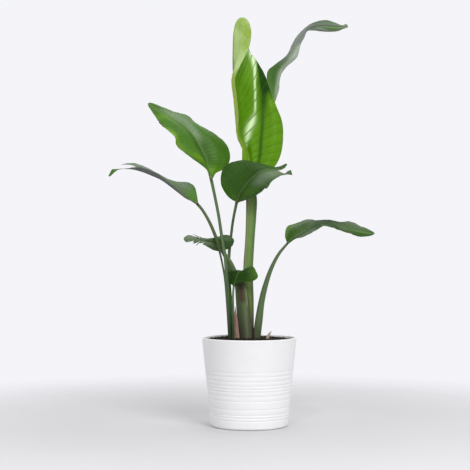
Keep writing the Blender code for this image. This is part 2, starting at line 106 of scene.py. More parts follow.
DROOPING_BLADE = (
    ((-154, -10, 655), (-157, -12, 652), (-151, -8, 658)),
    ((-165, -12, 662), (-175, -44, 664), (-155, 12, 681)),
    ((-185, -14, 671), (-199, -64, 685), (-163, 26, 707)),
    ((-207, -17, 687), (-222, -72, 706), (-182, 34, 719)),
    ((-233, -20, 707), (-248, -72, 726), (-217, 36, 723)),
    ((-259, -23, 725), (-274, -70, 742), (-251, 34, 734)),
    ((-286, -26, 737), (-298, -66, 753), (-283, 30, 752)),
    ((-312, -29, 747), (-321, -62, 759), (-310, 24, 766)),
    ((-338, -32, 754), (-347, -60, 756), (-336, 10, 774)),
    ((-364, -35, 756), (-374, -56, 750), (-361, -6, 774)),
    ((-402, -41, 754), (-410, -48, 737), (-377, -19, 768)),
)
CENTRE_BLADE = (
    ((-37, -24, 659), (-42, -24, 659), (-32, -25, 658)),
    ((-32, -28, 670), (-64, -22, 676), (-17, -50, 661)),
    ((-26, -34, 685), (-81, -20, 704), (0, -76, 667)),
    ((-16, -42, 700), (-84, -20, 735), (17, -96, 674)),
    ((-3, -50, 716), (-76, -22, 759), (33, -108, 683)),
    ((12, -57, 732), (-51, -26, 776), (48, -112, 697)),
    ((28, -61, 746), (-17, -32, 781), (64, -108, 714)),
    ((48, -61, 752), (18, -38, 776), (79, -96, 725)),
    ((70, -56, 751), (50, -42, 763), (93, -80, 733)),
    ((92, -48, 751), (82, -42, 761), (108, -62, 737)),
    ((120, -39, 757), (108, -38, 771), (126, -42, 737)),
)
TORN_BLADE = (
    ((-88, -2, 515), (-91, -3, 514), (-85, -1, 515)),
    ((-91, 0, 525), (-106, -4, 517), (-58, 4, 522)),
    ((-100, 2, 534), (-120, -14, 525), (-46, 6, 537)),
    ((-111, 0, 540), (-133, -22, 532), (-47, 8, 552)),
    ((-126, -4, 543), (-145, -26, 538), (-69, 10, 563)),
    ((-145, -9, 546), (-157, -26, 540), (-116, 8, 552)),
    ((-166, -13, 548), (-174, -24, 539), (-151, 0, 557)),
    ((-182, -16, 550), (-184, -20, 541), (-177, -8, 561)),
    ((-193, -18, 551), (-193, -19, 546), (-191, -16, 557)),
)
LOW_BLADE = (
    ((-46, -37, 413), (-49, -36, 413), (-43, -38, 413)),
    ((-43, -40, 421), (-60, -22, 425), (-18, -54, 424)),
    ((-40, -43, 432), (-63, -14, 436), (9, -60, 427)),
    ((-36, -46, 443), (-63, -14, 448), (25, -58, 439)),
    ((-31, -47, 452), (-58, -21, 455), (19, -51, 458)),
    ((-24, -43, 456), (-42, -30, 456), (10, -43, 470)),
    ((-14, -38, 455), (-27, -31, 454), (2, -38, 461)),
    ((-6, -33, 452), (-11, -32, 451), (-3, -34, 453)),
)
RIGHT_BLADE = (
    ((112, -20, 538), (110, -17, 541), (114, -23, 535)),
    ((123, -22, 546), (106, 6, 562), (135, -48, 550)),
    ((140, -24, 559), (114, 26, 588), (155, -72, 555)),
    ((162, -26, 571), (142, 34, 598), (175, -80, 565)),
    ((182, -28, 582), (171, 36, 608), (195, -82, 576)),
    ((204, -30, 590), (206, 36, 605), (217, -82, 586)),
    ((231, -32, 592), (237, 34, 605), (240, -80, 582)),
    ((260, -33, 585), (269, 30, 601), (265, -76, 573)),
    ((289, -34, 578), (302, 22, 602), (290, -70, 565)),
    ((318, -35, 572), (330, 6, 589), (317, -60, 557)),
    ((344, -36, 567), (352, -14, 578), (343, -48, 557)),
    ((367, -36, 565), (367, -34, 569), (365, -37, 562)),
)

# Swell of a half blade: share of the way to the margin, and height on the upper side
PLAIN_SWELL = ((0.0, 0), (0.5, 9), (1.0, 0))
FLAT_SWELL = ((0.0, 0), (0.5, 4), (1.0, 0))
TALL_LEFT_SWELL = ((0.0, 0), (0.5, -17), (1.0, 0))

# Samples over which a corner of a swell or of a fold is rounded
SWELL_CORNER, FOLD_CORNER = 33, 25

# The right half of the tall leaf is folded. Each row is a place along the leaf, the share of the
# way to the margin of the crest and of the valley, and heights of crest, valley and outer lobe.
TALL_FOLDS = (
    (0.00, 0.12, 0.32, 8, 2, 10), (0.14, 0.13, 0.38, 16, 2, 16), (0.23, 0.19, 0.48, 20, 3, 18),
    (0.30, 0.29, 0.56, 24, 4, 18), (0.42, 0.48, 0.70, 26, 6, 14), (0.49, 0.58, 0.84, 26, 8, 10),
    (0.56, 0.72, 0.94, 22, 4, 4), (0.61, 0.80, 0.97, 14, 2, 2), (1.00, 0.85, 0.98, 0, 0, 0),
)

# A nick starts at the margin and follows the veins inwards: side, where along the leaf, half
# width along the leaf and depth as a share of the half blade. A depth below 0 is a small lobe.
# A slit is narrow with a sharp end.
Nick = namedtuple("Nick", "side run half_width depth slit")

# A tint is a soft patch of painted light: side, where along the leaf, share of the way to the margin,
# length, width, kind and strength. The light kind paints light shining through the blade, the dark
# kind paints shade, and the third kind paints a sheen with highlights that is partly a real film of wax.
Tint = namedtuple("Tint", "side run share long wide kind strength")
TINT_KINDS = ("light", "dark", "bloom")

# A band is a soft line of painted light, of the same kinds as a tint: side, kind, and a path of rows
# (place along the leaf, share of the way to the margin, width, strength).
Band = namedtuple("Band", "side kind path")

# A leaf: its stations, the swell of each half, width and depth of its neck, number of side veins,
# depth of the pleats between them, height of the ruffles at the margin, how far the veins lean
# towards the tip, finish and material slot. Then its nicks, its tints and bands of painted light,
# shade and sheen, and the place along the blade where the midrib ends.
Leaf = namedtuple(
    "Leaf",
    "stations left_swell right_swell neck veins pleat ruffle lean finish slot nicks tints bands "
    "rib_end",
    defaults=((), (), (), 0.97))

LEAVES = {
    "tall": Leaf(
        TALL_BLADE, TALL_LEFT_SWELL, TALL_FOLDS, neck=(29, 20), veins=32, pleat=0.7,
        ruffle=1.2, lean=0.20,
        tints=(
            Tint("right", 0.80, 0.60, 0.08, 0.12, "dark", 0.50),
            Tint("right", 0.45, 0.98, 0.30, 0.03, "dark", 0.35)),
        bands=(
            Band("right", "bloom", (
                (0.19, 0.02, 0.03, 0.0), (0.22, 0.06, 0.03, 0.7), (0.25, 0.13, 0.06, 1.0),
                (0.29, 0.20, 0.07, 1.0), (0.32, 0.29, 0.08, 1.0), (0.345, 0.36, 0.06, 0.8),
                (0.37, 0.42, 0.03, 0.4), (0.39, 0.45, 0.022, 0.8), (0.49, 0.58, 0.030, 0.8),
                (0.54, 0.69, 0.05, 0.85), (0.58, 0.78, 0.09, 0.85), (0.61, 0.87, 0.16, 0.80),
                (0.65, 0.95, 0.16, 0.70), (0.69, 0.98, 0.06, 0.0))),
            Band("right", "dark", (
                (0.03, 0.30, 0.06, 0.0), (0.10, 0.32, 0.07, 0.7), (0.23, 0.44, 0.055, 0.75),
                (0.30, 0.52, 0.05, 0.7), (0.36, 0.59, 0.07, 0.7), (0.42, 0.70, 0.11, 0.85),
                (0.49, 0.84, 0.16, 1.0), (0.55, 0.95, 0.12, 0.9), (0.62, 0.99, 0.05, 0.0))),
            Band("right", "dark", (
                (0.42, 0.98, 0.10, 0.0), (0.47, 0.95, 0.16, 0.8), (0.54, 0.95, 0.12, 0.9),
                (0.62, 1.00, 0.06, 0.7), (0.70, 1.00, 0.03, 0.4), (0.74, 1.00, 0.03, 0.0))),
            Band("left", "light", (
                (0.10, 0.80, 0.40, 0.3), (0.20, 0.80, 0.50, 0.8), (0.48, 0.80, 0.50, 0.8),
                (0.56, 0.80, 0.40, 0.0))),
            Band("left", "bloom", (
                (0.52, 0.50, 0.90, 0.0), (0.57, 0.50, 0.90, 0.36), (0.66, 0.35, 0.45, 0.28),
                (0.80, 0.10, 0.25, 0.20), (0.92, 0.05, 0.20, 0.10), (1.00, 0.05, 0.20, 0.05)))),
        finish="young", slot="bright_leaf"),
    "twisted": Leaf(
        TWISTED_BLADE, FLAT_SWELL, FLAT_SWELL, neck=(10, 8), veins=30, pleat=0.3,
        ruffle=1.2, lean=0.10,
        nicks=(
            Nick("right", 0.47, 0.012, 0.20, True),),
        tints=(
            Tint("left", 0.12, 0.45, 0.06, 0.30, "dark", 0.5),
            Tint("left", 0.84, 0.30, 0.10, 0.40, "dark", 0.5),
            Tint("right", 0.80, 0.60, 0.08, 0.20, "dark", 0.4)),
        bands=(
            Band("left", "light", (
                (0.01, 0.0, 0.14, 0.0), (0.05, 0.0, 0.20, 1.0), (0.14, 0.0, 0.26, 1.0),
                (0.22, 0.04, 0.30, 1.0), (0.28, 0.1, 0.2, 0.5), (0.34, 0.1, 0.2, 0.0),
                (0.62, 0.35, 0.14, 0.0), (0.70, 0.35, 0.14, 0.9), (0.92, 0.45, 0.14, 0.8),
                (1.0, 0.5, 0.1, 0.3))),
            Band("right", "light", (
                (0.01, 0.4, 0.20, 0.0), (0.05, 0.4, 0.26, 0.9), (0.20, 0.4, 0.40, 0.9),
                (0.30, 0.6, 0.9, 1.0), (0.43, 0.7, 0.9, 1.0), (0.48, 0.8, 0.6, 0.0),
                (0.64, 0.3, 0.16, 0.0), (0.70, 0.3, 0.16, 0.8), (0.78, 0.85, 0.14, 0.9),
                (0.95, 0.8, 0.14, 0.5))),
            Band("left", "dark", (
                (0.08, 0.55, 0.16, 0.0), (0.14, 0.55, 0.22, 0.25), (0.26, 0.6, 0.2, 0.3),
                (0.36, 0.7, 0.2, 0.0))),
            Band("right", "dark", (
                (0.04, 0.95, 0.20, 0.0), (0.08, 0.95, 0.24, 1.0), (0.18, 0.98, 0.20, 1.0),
                (0.24, 1.0, 0.1, 0.0))),
            Band("left", "bloom", (
                (0.24, 0.5, 1.5, 0.0), (0.30, 0.5, 1.5, 0.35), (0.38, 0.5, 1.5, 0.9),
                (0.55, 0.5, 1.5, 1.0), (0.66, 0.5, 1.0, 0.6), (0.80, 0.6, 0.8, 0.35),
                (0.94, 0.6, 0.6, 0.4), (1.0, 0.6, 0.6, 0.6))),
            Band("right", "bloom", (
                (0.42, 0.5, 1.5, 0.0), (0.48, 0.5, 1.5, 1.0), (0.58, 0.5, 1.5, 1.0),
                (0.66, 0.6, 1.0, 0.6), (0.80, 0.9, 0.4, 0.4), (1.0, 0.9, 0.4, 0.5)))),
        finish="weathered", slot="pale_leaf"),
    "left": Leaf(
        LEFT_BLADE, PLAIN_SWELL, PLAIN_SWELL, neck=(11, 8), veins=32, pleat=0.3,
        ruffle=1.8, lean=0.09,
        nicks=(
            Nick("left", 0.63, 0.025, 0.03, False), Nick("left", 0.70, 0.008, 0.04, True)),
        tints=(
            Tint("left", 0.24, 0.62, 0.05, 0.20, "light", 0.55),
            Tint("left", 0.36, 0.92, 0.08, 0.12, "light", 0.45),
            Tint("left", 0.50, 0.94, 0.07, 0.09, "light", 0.9),
            Tint("left", 0.24, 1.00, 0.10, 0.10, "dark", 0.6),
            Tint("left", 0.07, 0.50, 0.05, 0.90, "light", 0.45),
            Tint("right", 0.09, 0.50, 0.07, 0.90, "light", 0.45),
            Tint("left", 0.75, 0.60, 0.05, 0.40, "light", 0.3),
            Tint("right", 0.36, 0.80, 0.12, 0.30, "dark", 0.25)),
        bands=(
            Band("right", "bloom", (
                (0.40, 0.08, 0.08, 0.0), (0.52, 0.14, 0.15, 0.9), (0.66, 0.24, 0.26, 1.0),
                (0.78, 0.26, 0.30, 0.9), (0.86, 0.20, 0.25, 0.4), (0.93, 0.10, 0.2, 0.0))),
            Band("left", "bloom", (
                (0.50, 0.03, 0.05, 0.0), (0.59, 0.05, 0.07, 0.7), (0.77, 0.05, 0.08, 0.7),
                (0.89, 0.05, 0.1, 0.0))),
            Band("left", "dark", (
                (0.16, 0.12, 0.08, 0.0), (0.22, 0.14, 0.10, 0.7), (0.32, 0.16, 0.10, 0.6),
                (0.64, 0.14, 0.08, 0.35), (0.82, 0.12, 0.1, 0.0))),
            Band("right", "dark", (
                (0.20, 0.10, 0.05, 0.0), (0.28, 0.14, 0.10, 0.5), (0.44, 0.14, 0.10, 0.4),
                (0.52, 0.2, 0.1, 0.0)))),
        finish="mature", slot="green_leaf"),
    "drooping": Leaf(
        DROOPING_BLADE, FLAT_SWELL, FLAT_SWELL, neck=(9, 7), veins=24, pleat=0.2,
        ruffle=1.2, lean=0.10, rib_end=0.95,
        tints=(
            Tint("right", 0.14, 0.55, 0.12, 0.90, "light", 0.75),
            Tint("right", 0.26, 0.50, 0.08, 0.60, "bloom", 0.40),
            Tint("left", 0.97, 0.50, 0.05, 1.00, "light", 0.35)),
        bands=(
            Band("right", "bloom", (
                (0.30, 0.0, 0.10, 0.0), (0.42, 0.1, 0.25, 0.6), (0.60, 0.3, 0.5, 0.7),
                (0.80, 0.6, 0.5, 0.5), (0.95, 0.9, 0.4, 0.4), (1.0, 1.0, 0.5, 0.3))),
            Band("left", "bloom", (
                (0.05, 0.0, 0.10, 0.0), (0.15, 0.0, 0.15, 0.8), (0.45, 0.0, 0.3, 0.7),
                (0.70, 0.3, 0.6, 0.6), (0.88, 0.3, 0.6, 0.4), (0.94, 0.3, 0.6, 0.0)))),
        finish="dull", slot="pale_leaf"),
    "centre": Leaf(
        CENTRE_BLADE, PLAIN_SWELL, PLAIN_SWELL, neck=(9, 7), veins=22, pleat=0.25,
        ruffle=1.6, lean=0.09, rib_end=0.88,
        tints=(
            Tint("left", 0.70, 0.60, 0.20, 0.60, "dark", 0.40),
            Tint("right", 0.24, 0.55, 0.10, 0.50, "light", 0.35),
            Tint("left", 0.12, 0.70, 0.10, 0.40, "light", 0.35)),
        bands=(
            Band("right", "bloom", (
                (0.36, 0.30, 0.16, 0.0), (0.48, 0.45, 0.30, 0.60), (0.60, 0.48, 0.34, 0.75),
                (0.78, 0.60, 0.35, 0.75), (0.90, 0.7, 0.3, 0.3))),
            Band("right", "dark", (
                (0.20, 0.90, 0.04, 0.0), (0.34, 0.88, 0.05, 0.6), (0.60, 0.90, 0.05, 0.6),
                (0.78, 0.95, 0.05, 0.0))),
            Band("left", "dark", (
                (0.45, 0.06, 0.06, 0.0), (0.55, 0.06, 0.07, 0.7), (0.68, 0.05, 0.06, 0.6),
                (0.75, 0.05, 0.05, 0.0)))),
        finish="deep", slot="dark_leaf"),
    "torn": Leaf(
        TORN_BLADE, FLAT_SWELL, FLAT_SWELL, neck=(6, 5), veins=18, pleat=0.3,
        ruffle=1.0, lean=0.10, rib_end=0.90,
        nicks=(
            Nick("left", 0.36, 0.014, 0.55, True), Nick("left", 0.47, 0.018, 0.70, True),
            Nick("left", 0.62, 0.022, 0.60, True), Nick("left", 0.55, 0.010, -0.30, True),
            Nick("right", 0.60, 0.020, 0.50, True), Nick("right", 0.70, 0.010, -0.30, True),
            Nick("right", 0.45, 0.012, 0.35, True), Nick("left", 0.69, 0.012, -0.75, True),
            Nick("right", 0.655, 0.012, -0.45, True)),
        tints=(
            Tint("left", 0.60, 0.50, 0.45, 1.50, "bloom", 0.40),
            Tint("right", 0.80, 0.50, 0.36, 1.50, "bloom", 0.50),
            Tint("left", 0.10, 0.50, 0.20, 1.50, "dark", 0.65),
            Tint("right", 0.10, 0.50, 0.20, 1.50, "dark", 0.65),
            Tint("left", 0.36, 0.50, 0.12, 0.60, "bloom", 0.30),
            Tint("left", 0.92, 0.50, 0.14, 1.00, "bloom", 0.7),
            Tint("right", 0.92, 0.50, 0.14, 1.00, "bloom", 0.7)),
        finish="deep", slot="dark_leaf"),
    "low": Leaf(
        LOW_BLADE, FLAT_SWELL, FLAT_SWELL, neck=(6, 5), veins=12, pleat=0.2,
        ruffle=0.8, lean=0.08,
        tints=(
            Tint("right", 0.45, 0.95, 0.20, 0.30, "light", 0.5),),
        finish="shaded", slot="green_leaf"),
    "right": Leaf(
        RIGHT_BLADE, PLAIN_SWELL, PLAIN_SWELL, neck=(9, 8), veins=26, pleat=0.3,
        ruffle=1.6, lean=0.09,
        nicks=(
            Nick("right", 0.47, 0.030, 0.04, False), Nick("left", 0.66, 0.030, 0.04, False)),
        tints=(
            Tint("left", 0.10, 0.85, 0.10, 0.25, "light", 0.8),
            Tint("left", 0.52, 0.50, 0.14, 0.80, "dark", 0.55),
            Tint("left", 0.32, 0.45, 0.14, 0.35, "bloom", 0.35)),
        bands=(
            Band("left", "bloom", (
                (0.03, 0.0, 0.06, 0.0), (0.08, 0.0, 0.10, 0.9), (0.30, 0.0, 0.12, 0.9),
                (0.42, 0.0, 0.14, 0.0), (0.58, 0.7, 0.3, 0.0), (0.66, 0.7, 0.3, 0.4),
                (0.82, 0.5, 0.3, 0.3), (0.92, 0.5, 0.3, 0.0))),
            Band("right", "dark", (
                (0.02, 0.42, 0.14, 0.0), (0.07, 0.44, 0.16, 1.0), (0.32, 0.44, 0.16, 1.0),
                (0.42, 0.45, 0.50, 0.8), (0.54, 0.50, 0.60, 0.7), (0.62, 0.85, 0.20, 0.5),
                (0.80, 0.92, 0.10, 0.5), (0.92, 0.9, 0.1, 0.0))),
            Band("left", "dark", (
                (0.36, 0.5, 0.5, 0.0), (0.44, 0.5, 0.7, 0.6), (0.54, 0.6, 0.6, 0.6),
                (0.60, 0.8, 0.4, 0.4), (0.90, 0.9, 0.2, 0.3), (1.0, 0.9, 0.2, 0.0))),
            Band("right", "bloom", (
                (0.06, 0.85, 0.2, 0.0), (0.14, 0.85, 0.22, 0.9), (0.32, 0.85, 0.22, 1.0),
                (0.42, 0.8, 0.2, 0.0), (0.60, 0.4, 0.3, 0.0), (0.68, 0.4, 0.4, 0.6),
                (0.76, 0.3, 0.3, 0.0)))),
        finish="arched", slot="green_leaf"),
}

# Torn tips. Each row is a place along the leaf and the inner and outer limit of the half blade
# there, as shares of the way from midrib to margin.
TIPS = {
    ("twisted", "left"): ((0.90, 0, 1), (0.97, 0, 1), (1.0, 0, 0.75)),
    ("twisted", "right"): ((0.90, 0, 1), (0.97, 0, 1), (1.0, 0, 0.75)),
    ("drooping", "left"): ((0.72, 0, 1), (0.80, 0, 0.65), (0.86, 0, 0.36), (0.915, 0, 0.34),
                           (0.935, 0, 0.75), (0.955, 0, 1.40), (0.975, 0, 1.50), (1.0, 0, 1.2)),
    ("drooping", "right"): ((0.71, 0, 1), (0.78, 0.34, 1), (0.85, 0.58, 1), (0.93, 0.78, 1),
                            (1.0, 0.97, 1)),
    ("centre", "left"): ((0.80, 0, 1), (0.90, 0, 1), (0.95, 0.25, 1), (1.0, 0.75, 1.02)),
    ("centre", "right"): ((0.70, 0, 1), (0.78, 0.30, 1), (0.84, 0.74, 1), (0.895, 0.86, 1),
                          (0.93, 0.60, 1), (0.96, 0.38, 1), (1.0, 0.25, 1)),
    ("torn", "left"): ((0.60, 0, 1), (0.68, 0, 0.55), (0.76, 0, 0.95), (0.90, 0, 1.15), (1.0, 0, 0.7)),
    ("torn", "right"): ((0.55, 0, 1), (0.64, 0, 0.50), (0.76, 0, 1.0), (0.90, 0, 1.1), (1.0, 0, 0.7)),
}

# The materials of a blade, in the order of its slots
UPPER, UNDER, RIB = range(3)

# Shreds: thin strips torn from a blade. Root, middle and tip, then the width and the material.
SHREDS = {
    "centre": (((46, -111, 694), (51, -112, 699), (59, -112, 709), 4.5, UPPER),),
    "torn": (
        ((-140, -12, 554), (-152, -14, 557), (-166, -16, 565), 2.6, UPPER),
        ((-143, -20, 543), (-149, -22, 538), (-157, -24, 530), 3.0, UNDER),
        ((-150, -20, 543), (-158, -23, 539), (-166, -24, 536), 2.4, UNDER)),
}

# Stalks: direction that the groove faces, and rings (x, y, z, width, depth, groove). Below its
# first ring a stalk goes straight down to the foot. A groove of 0 is a plain oval, and one near 1
# is a gutter that wraps other stalks.
STALK_FOOT = 238.3
STALKS = {
    "tall": ((0.1, -1, 0), (
        (4, 7, 267, 20, 19, 0.1), (2, 5, 368, 23, 21, 0.2), (-1, 4, 413, 26, 22, 0.3),
        (-3, 4, 463, 29, 23, 0.4), (2, 6, 547, 28, 22, 0.45), (6, 10, 620, 31, 22, 0.45),
        (7, 12, 665, 33, 22, 0.45))),
    "twisted": ((0.6, -0.8, 0), (
        (-13, 4, 267, 9, 9, 0), (-18, 4, 340, 11, 11, 0), (-18.5, 8, 385, 11, 11, 0),
        (-17, 20, 418, 11, 11, 0.1), (-8, 28, 463, 12, 11, 0.3), (3, 31, 560, 12, 11, 0.35),
        (10, 37, 680, 12, 10, 0.35), (22, 44, 787, 11, 9, 0.35), (43, 54, 877, 10, 9, 0.35))),
    "left": ((0.7, -0.7, 0.1), (
        (-54, -20, 267, 11, 11, 0.1), (-60, -24, 355, 11, 11, 0.3), (-66, -28, 435, 11, 10, 0.4),
        (-70, -30, 494, 11, 10, 0.4), (-79, -32, 547, 10.5, 9, 0.4), (-89, -34, 614, 10, 9, 0.4),
        (-101, -37, 676, 10, 8, 0.4))),
    "drooping": ((0.5, 0.86, 0), (
        (-10, -6, 267, 44, 25, 0.84), (-15, -6, 314, 46, 25, 0.84), (-20, -6, 368, 43, 25, 0.84),
        (-24, -8, 404, 39, 24, 0.82), (-33, -12, 430, 29, 20, 0.7), (-46, -13, 455, 21, 16, 0.55),
        (-57, -14, 479, 18, 14, 0.45), (-70, -14.5, 500, 14, 11, 0.4), (-88, -14, 531, 11, 9, 0.4),
        (-113, -12, 591, 10, 8, 0.4), (-135, -11, 631, 9, 7, 0.4))),
    "centre": ((-0.3, -0.95, 0), (
        (-52, 6, 267, 8, 8, 0), (-53, 8, 340, 8, 8, 0.3), (-58, 12, 420, 8, 7, 0.35),
        (-60, 15, 480, 9, 7, 0.35), (-58.5, 17, 517, 9, 7, 0.35), (-54, 17, 557, 8, 7, 0.35),
        (-50, 6, 590, 8, 7, 0.35), (-45, -10, 620, 8, 7, 0.35))),
    "torn": ((0.5, -0.8, 0.3), (
        (-60, -6, 267, 6, 6, 0), (-65, -6, 350, 6, 6, 0.3), (-71, -5, 425, 6, 5, 0.35),
        (-79, -4, 475, 6, 5, 0.35))),
    "low": ((0, -1, 0), (
        (-47, -31, 267, 7, 7, 0), (-48, -33, 330, 7, 7, 0.3), (-48, -35, 380, 6.5, 6, 0.35))),
    "right": ((-0.9, -0.3, 0.1), (
        (22, -12, 267, 15, 26, 0.1), (27, -12, 314, 15, 27, 0.15), (33.5, -12, 363, 14, 24, 0.25),
        (45, -13, 412, 12, 21, 0.3), (62, -15, 461, 11, 16, 0.35), (85, -17, 505, 9.5, 12, 0.35))),
}
RING_STEP = 0.05        # rings between two points that give a direction
STALK_UPRIGHT = 0.9     # rings from the foot up to which a stalk's sections stay level
NECK_GROOVE = 0.35      # groove of a stalk where its blade begins
NECK_TUCK = 1.0         # how far a stalk runs into its blade

# A streak is a soft patch on a stalk: turn round it (0 at the middle of the groove, 1 at the
# back), lowest and highest point, width, kind (brown, pale or red) and strength. It fades out from
# STREAK_IN inside each end to STREAK_OUT beyond it.
Streak = namedtuple("Streak", "turn low high wide kind strength")
STREAK_KINDS = ("brown", "pale", "red")
STREAK_OUT, STREAK_IN = 12, 6
STREAKS = {
    "tall": (Streak(0.46, 320, 720, 0.07, "brown", 0.7), Streak(0.24, 380, 680, 0.06, "pale", 0.5),
             Streak(-0.47, 300, 720, 0.05, "brown", 0.55), Streak(-0.35, 247, 408, 0.50, "brown", 0.4)),
    "twisted": (Streak(0.0, 700, 900, 0.30, "brown", 0.5), Streak(0.5, 600, 940, 0.12, "pale", 0.6)),
    "left": (Streak(0.20, 430, 720, 0.10, "pale", 0.5), Streak(0.72, 320, 440, 0.08, "pale", 0.7),
             Streak(0.65, 290, 306, 0.16, "brown", 1.0)),
    "drooping": (Streak(0.92, 368, 440, 0.17, "red", 0.95), Streak(0.45, 247, 380, 0.13, "red", 1.0),
                 Streak(0.66, 355, 405, 0.035, "pale", 1.0), Streak(0.82, 262, 360, 0.09, "pale", 0.35),
                 Streak(-0.70, 247, 335, 0.12, "red", 0.85), Streak(0.60, 300, 400, 0.04, "brown", 0.8)),
    "low": (Streak(0.0, 370, 420, 0.60, "pale", 0.4),),
    "torn": (Streak(0.1, 300, 500, 0.30, "pale", 0.3), Streak(0.5, 300, 500, 0.2, "brown", 0.6)),
    "right": (Streak(0.05, 247, 420, 0.20, "red", 0.7), Streak(0.0, 400, 520, 0.14, "brown", 0.6),
              Streak(0.5, 247, 330, 0.4, "brown", 0.45), Streak(-0.95, 300, 480, 0.10, "brown", 0.3)),
}


# ---------------------------------------------------------------------------------------------
# Geometry helpers

def unit(vectors):
    """The same directions with a length of one."""
    length = np.linalg.norm(vectors, axis=-1, keepdims=True)
    return vectors / np.maximum(length, 1e-9)


def painted(x, y, z):
    """Three values at each point of a grid, from values along its rows, columns or both."""
    return np.stack(np.broadcast_arrays(x, y, z), -1)


def section(centre, across, aside, upward, height):
    """Points round each of a row of centres: so far to the side, and so far up."""
    return (centre[:, None, :] + across[:, None, :] * aside[..., None]
            + upward[:, None, :] * height[..., None])


def round_angles(sides):
    """The angles of the corners of a ring."""
    return np.linspace(0, 2 * math.pi, sides, endpoint=False)


def curve(points, at):
    """Points of a Catmull-Rom curve, for an array of places counted in spans from its start."""
    points = np.asarray(points, float)
    at = np.clip(at, 0, len(points) - 1)
    span = np.minimum(at.astype(int), len(points) - 2)
    f = (at - span)[..., None]
    ends = np.vstack([2 * points[:1] - points[1:2], points, 2 * points[-1:] - points[-2:-1]])
    p0, p1, p2, p3 = (ends[span + k] for k in range(4))
    bend = 2 * p0 - 5 * p1 + 4 * p2 - p3
    twist = 3 * p1 - p0 - 3 * p2 + p3
    return 0.5 * (2 * p1 + f * (p2 - p0) + f * f * bend + f ** 3 * twist)


def rounded(places, values, corner):
    """A broken line with its corners rounded, sampled from half a span before 0 to half after 1."""
    fine = np.linspace(-0.5, 1.5, 401)
    window = np.hanning(corner)
    return fine, np.convolve(np.interp(fine, places, values), window / window.sum(), mode="same")


def swell_height(swell, along, share):
    """Height of a half blade above the straight line from midrib to margin, without creases."""
    if len(swell[0]) > 2:
        return fold_height(swell, along, share)
    places, heights = np.array(swell, float).T
    # mirrored past both ends, so that rounding the corners leaves the ends where they are
    places = np.r_[-places[:0:-1], places, 2 - places[-2::-1]]
    heights = np.r_[-heights[:0:-1], heights, -heights[-2::-1]]
    return np.interp(share, *rounded(places, heights, SWELL_CORNER))


def fold_height(folds, along, share):
    """Height of a half blade whose crest, valley and lobe drift along it."""
    places, *columns = np.array(folds, float).T
    crest, valley, *heights = (np.interp(along, *rounded(places, column, FOLD_CORNER))
                               for column in columns)
    knots = (0, crest, valley, (1 + valley) / 2, 1)
    heights = (0, *heights, 0)
    steps = zip(knots, knots[1:], heights, heights[1:])
    return sum((after - before) * ease(low, high, share) for low, high, before, after in steps)


def ease(low, high, value):
    """A smooth step from 0 at low to 1 at high."""
    t = np.clip((value - low) / (high - low), 0, 1)
    return t * t * (3 - 2 * t)


def waves(seed, at, slowest, count=5):
    """A smooth uneven wave between about -1 and 1 that is the same on every run."""
    chance = np.random.default_rng(seed)
    total = np.zeros_like(at, dtype=float)
    for i in range(count):
        total += np.sin(2 * math.pi * slowest * 1.7 ** i * at + chance.uniform(0, 6.28)) * 0.7 ** i
    return total / 2


class Form:
    """Gathers grids of points into one mesh, with a material for each face and painted vectors."""

    def __init__(self):
        self.points = []
        self.faces = []
        self.slots = []
        self.marks = {}
        self.count = 0

    def add_points(self, points, **marks):
        """Add points with their painted vectors, and return the number of the first point."""
        first = self.count
        for name, values in marks.items():
            values = np.broadcast_to(values, np.shape(points)).reshape(-1, 3)
            self.marks.setdefault(name, []).append((first, values))
        self.points.append(np.reshape(points, (-1, 3)))
        self.count += len(self.points[-1])
        return first

    def add_faces(self, faces, slot):
        """Add faces, given by point numbers."""
        self.faces += faces
        self.slots += [slot] * len(faces)

    def add_grid(self, first, rows, columns, slot, flip=False, closed=False):
        """Add the quads of a grid of points, which closed joins round into a tube."""
        across = np.arange(columns if closed else columns - 1)
        low = np.arange(rows - 1)[:, None] * columns + across
        step = (across + 1) % columns - across
        quads = np.stack([low, low + step, low + step + columns, low + columns], -1)
        quads = quads.reshape(-1, 4) + first
        self.add_faces((quads[:, ::-1] if flip else quads).tolist(), slot)

    def add_cap(self, first, count, slot, flip=False):
        """Close the end of a tube."""
        ring = list(range(first, first + count))
        self.add_faces([ring[::-1] if flip else ring], slot)

    def add_tube(self, points, slot, flip=False, **marks):
        """Add a tube, ring by ring, with a cap at each end."""
        rings, sides = points.shape[:2]
        first = self.add_points(points, **marks)
        self.add_grid(first, rings, sides, slot, flip, closed=True)
        self.add_cap(first, sides, slot, not flip)
        self.add_cap(first + (rings - 1) * sides, sides, slot, flip)

    def add_sheet(self, place, rise, slots, flip=False, **marks):
        """Add a thin closed sheet: a grid of points raised and lowered by rise, and its rim."""
        rows, columns = place.shape[:2]
        upper, under = (self.add_points((place + way * rise) * MM, **marks) for way in (1, -1))
        self.add_grid(upper, rows, columns, slots[0], flip)
        self.add_grid(under, rows, columns, slots[1], not flip)
        grid = np.arange(rows * columns).reshape(rows, columns)
        border = np.concatenate([grid[0, :], grid[1:, -1], grid[-1, -2::-1], grid[-2:0:-1, 0]])
        onward = np.roll(border, -1)
        rim = np.stack([border + upper, border + under, onward + under, onward + upper], -1)
        self.add_faces((rim[:, ::-1] if flip else rim).tolist(), slots[0])

    def finish(self, name, finishes, smooth_below=60):
        """Make the object. Edges sharper than smooth_below degrees stay sharp."""
        mesh = bpy.data.meshes.new(name)
        mesh.from_pydata(np.vstack(self.points).tolist(), [], self.faces)
        for finish in finishes:
            mesh.materials.append(finish)
        mesh.polygons.foreach_set("material_index", self.slots)
        for mark, chunks in self.marks.items():
            values = np.zeros((self.count, 3))
            for first, chunk in chunks:
                values[first:first + len(chunk)] = chunk
            layer = mesh.attributes.new(mark, 'FLOAT_VECTOR', 'POINT')
            layer.data.foreach_set("vector", values.ravel())
        mesh.update()
        mesh.validate()
        mesh.shade_smooth()
        mesh.set_sharp_from_angle(angle=math.radians(smooth_below))
        made = bpy.data.objects.new(name, mesh)
        bpy.context.scene.collection.objects.link(made)
        return made


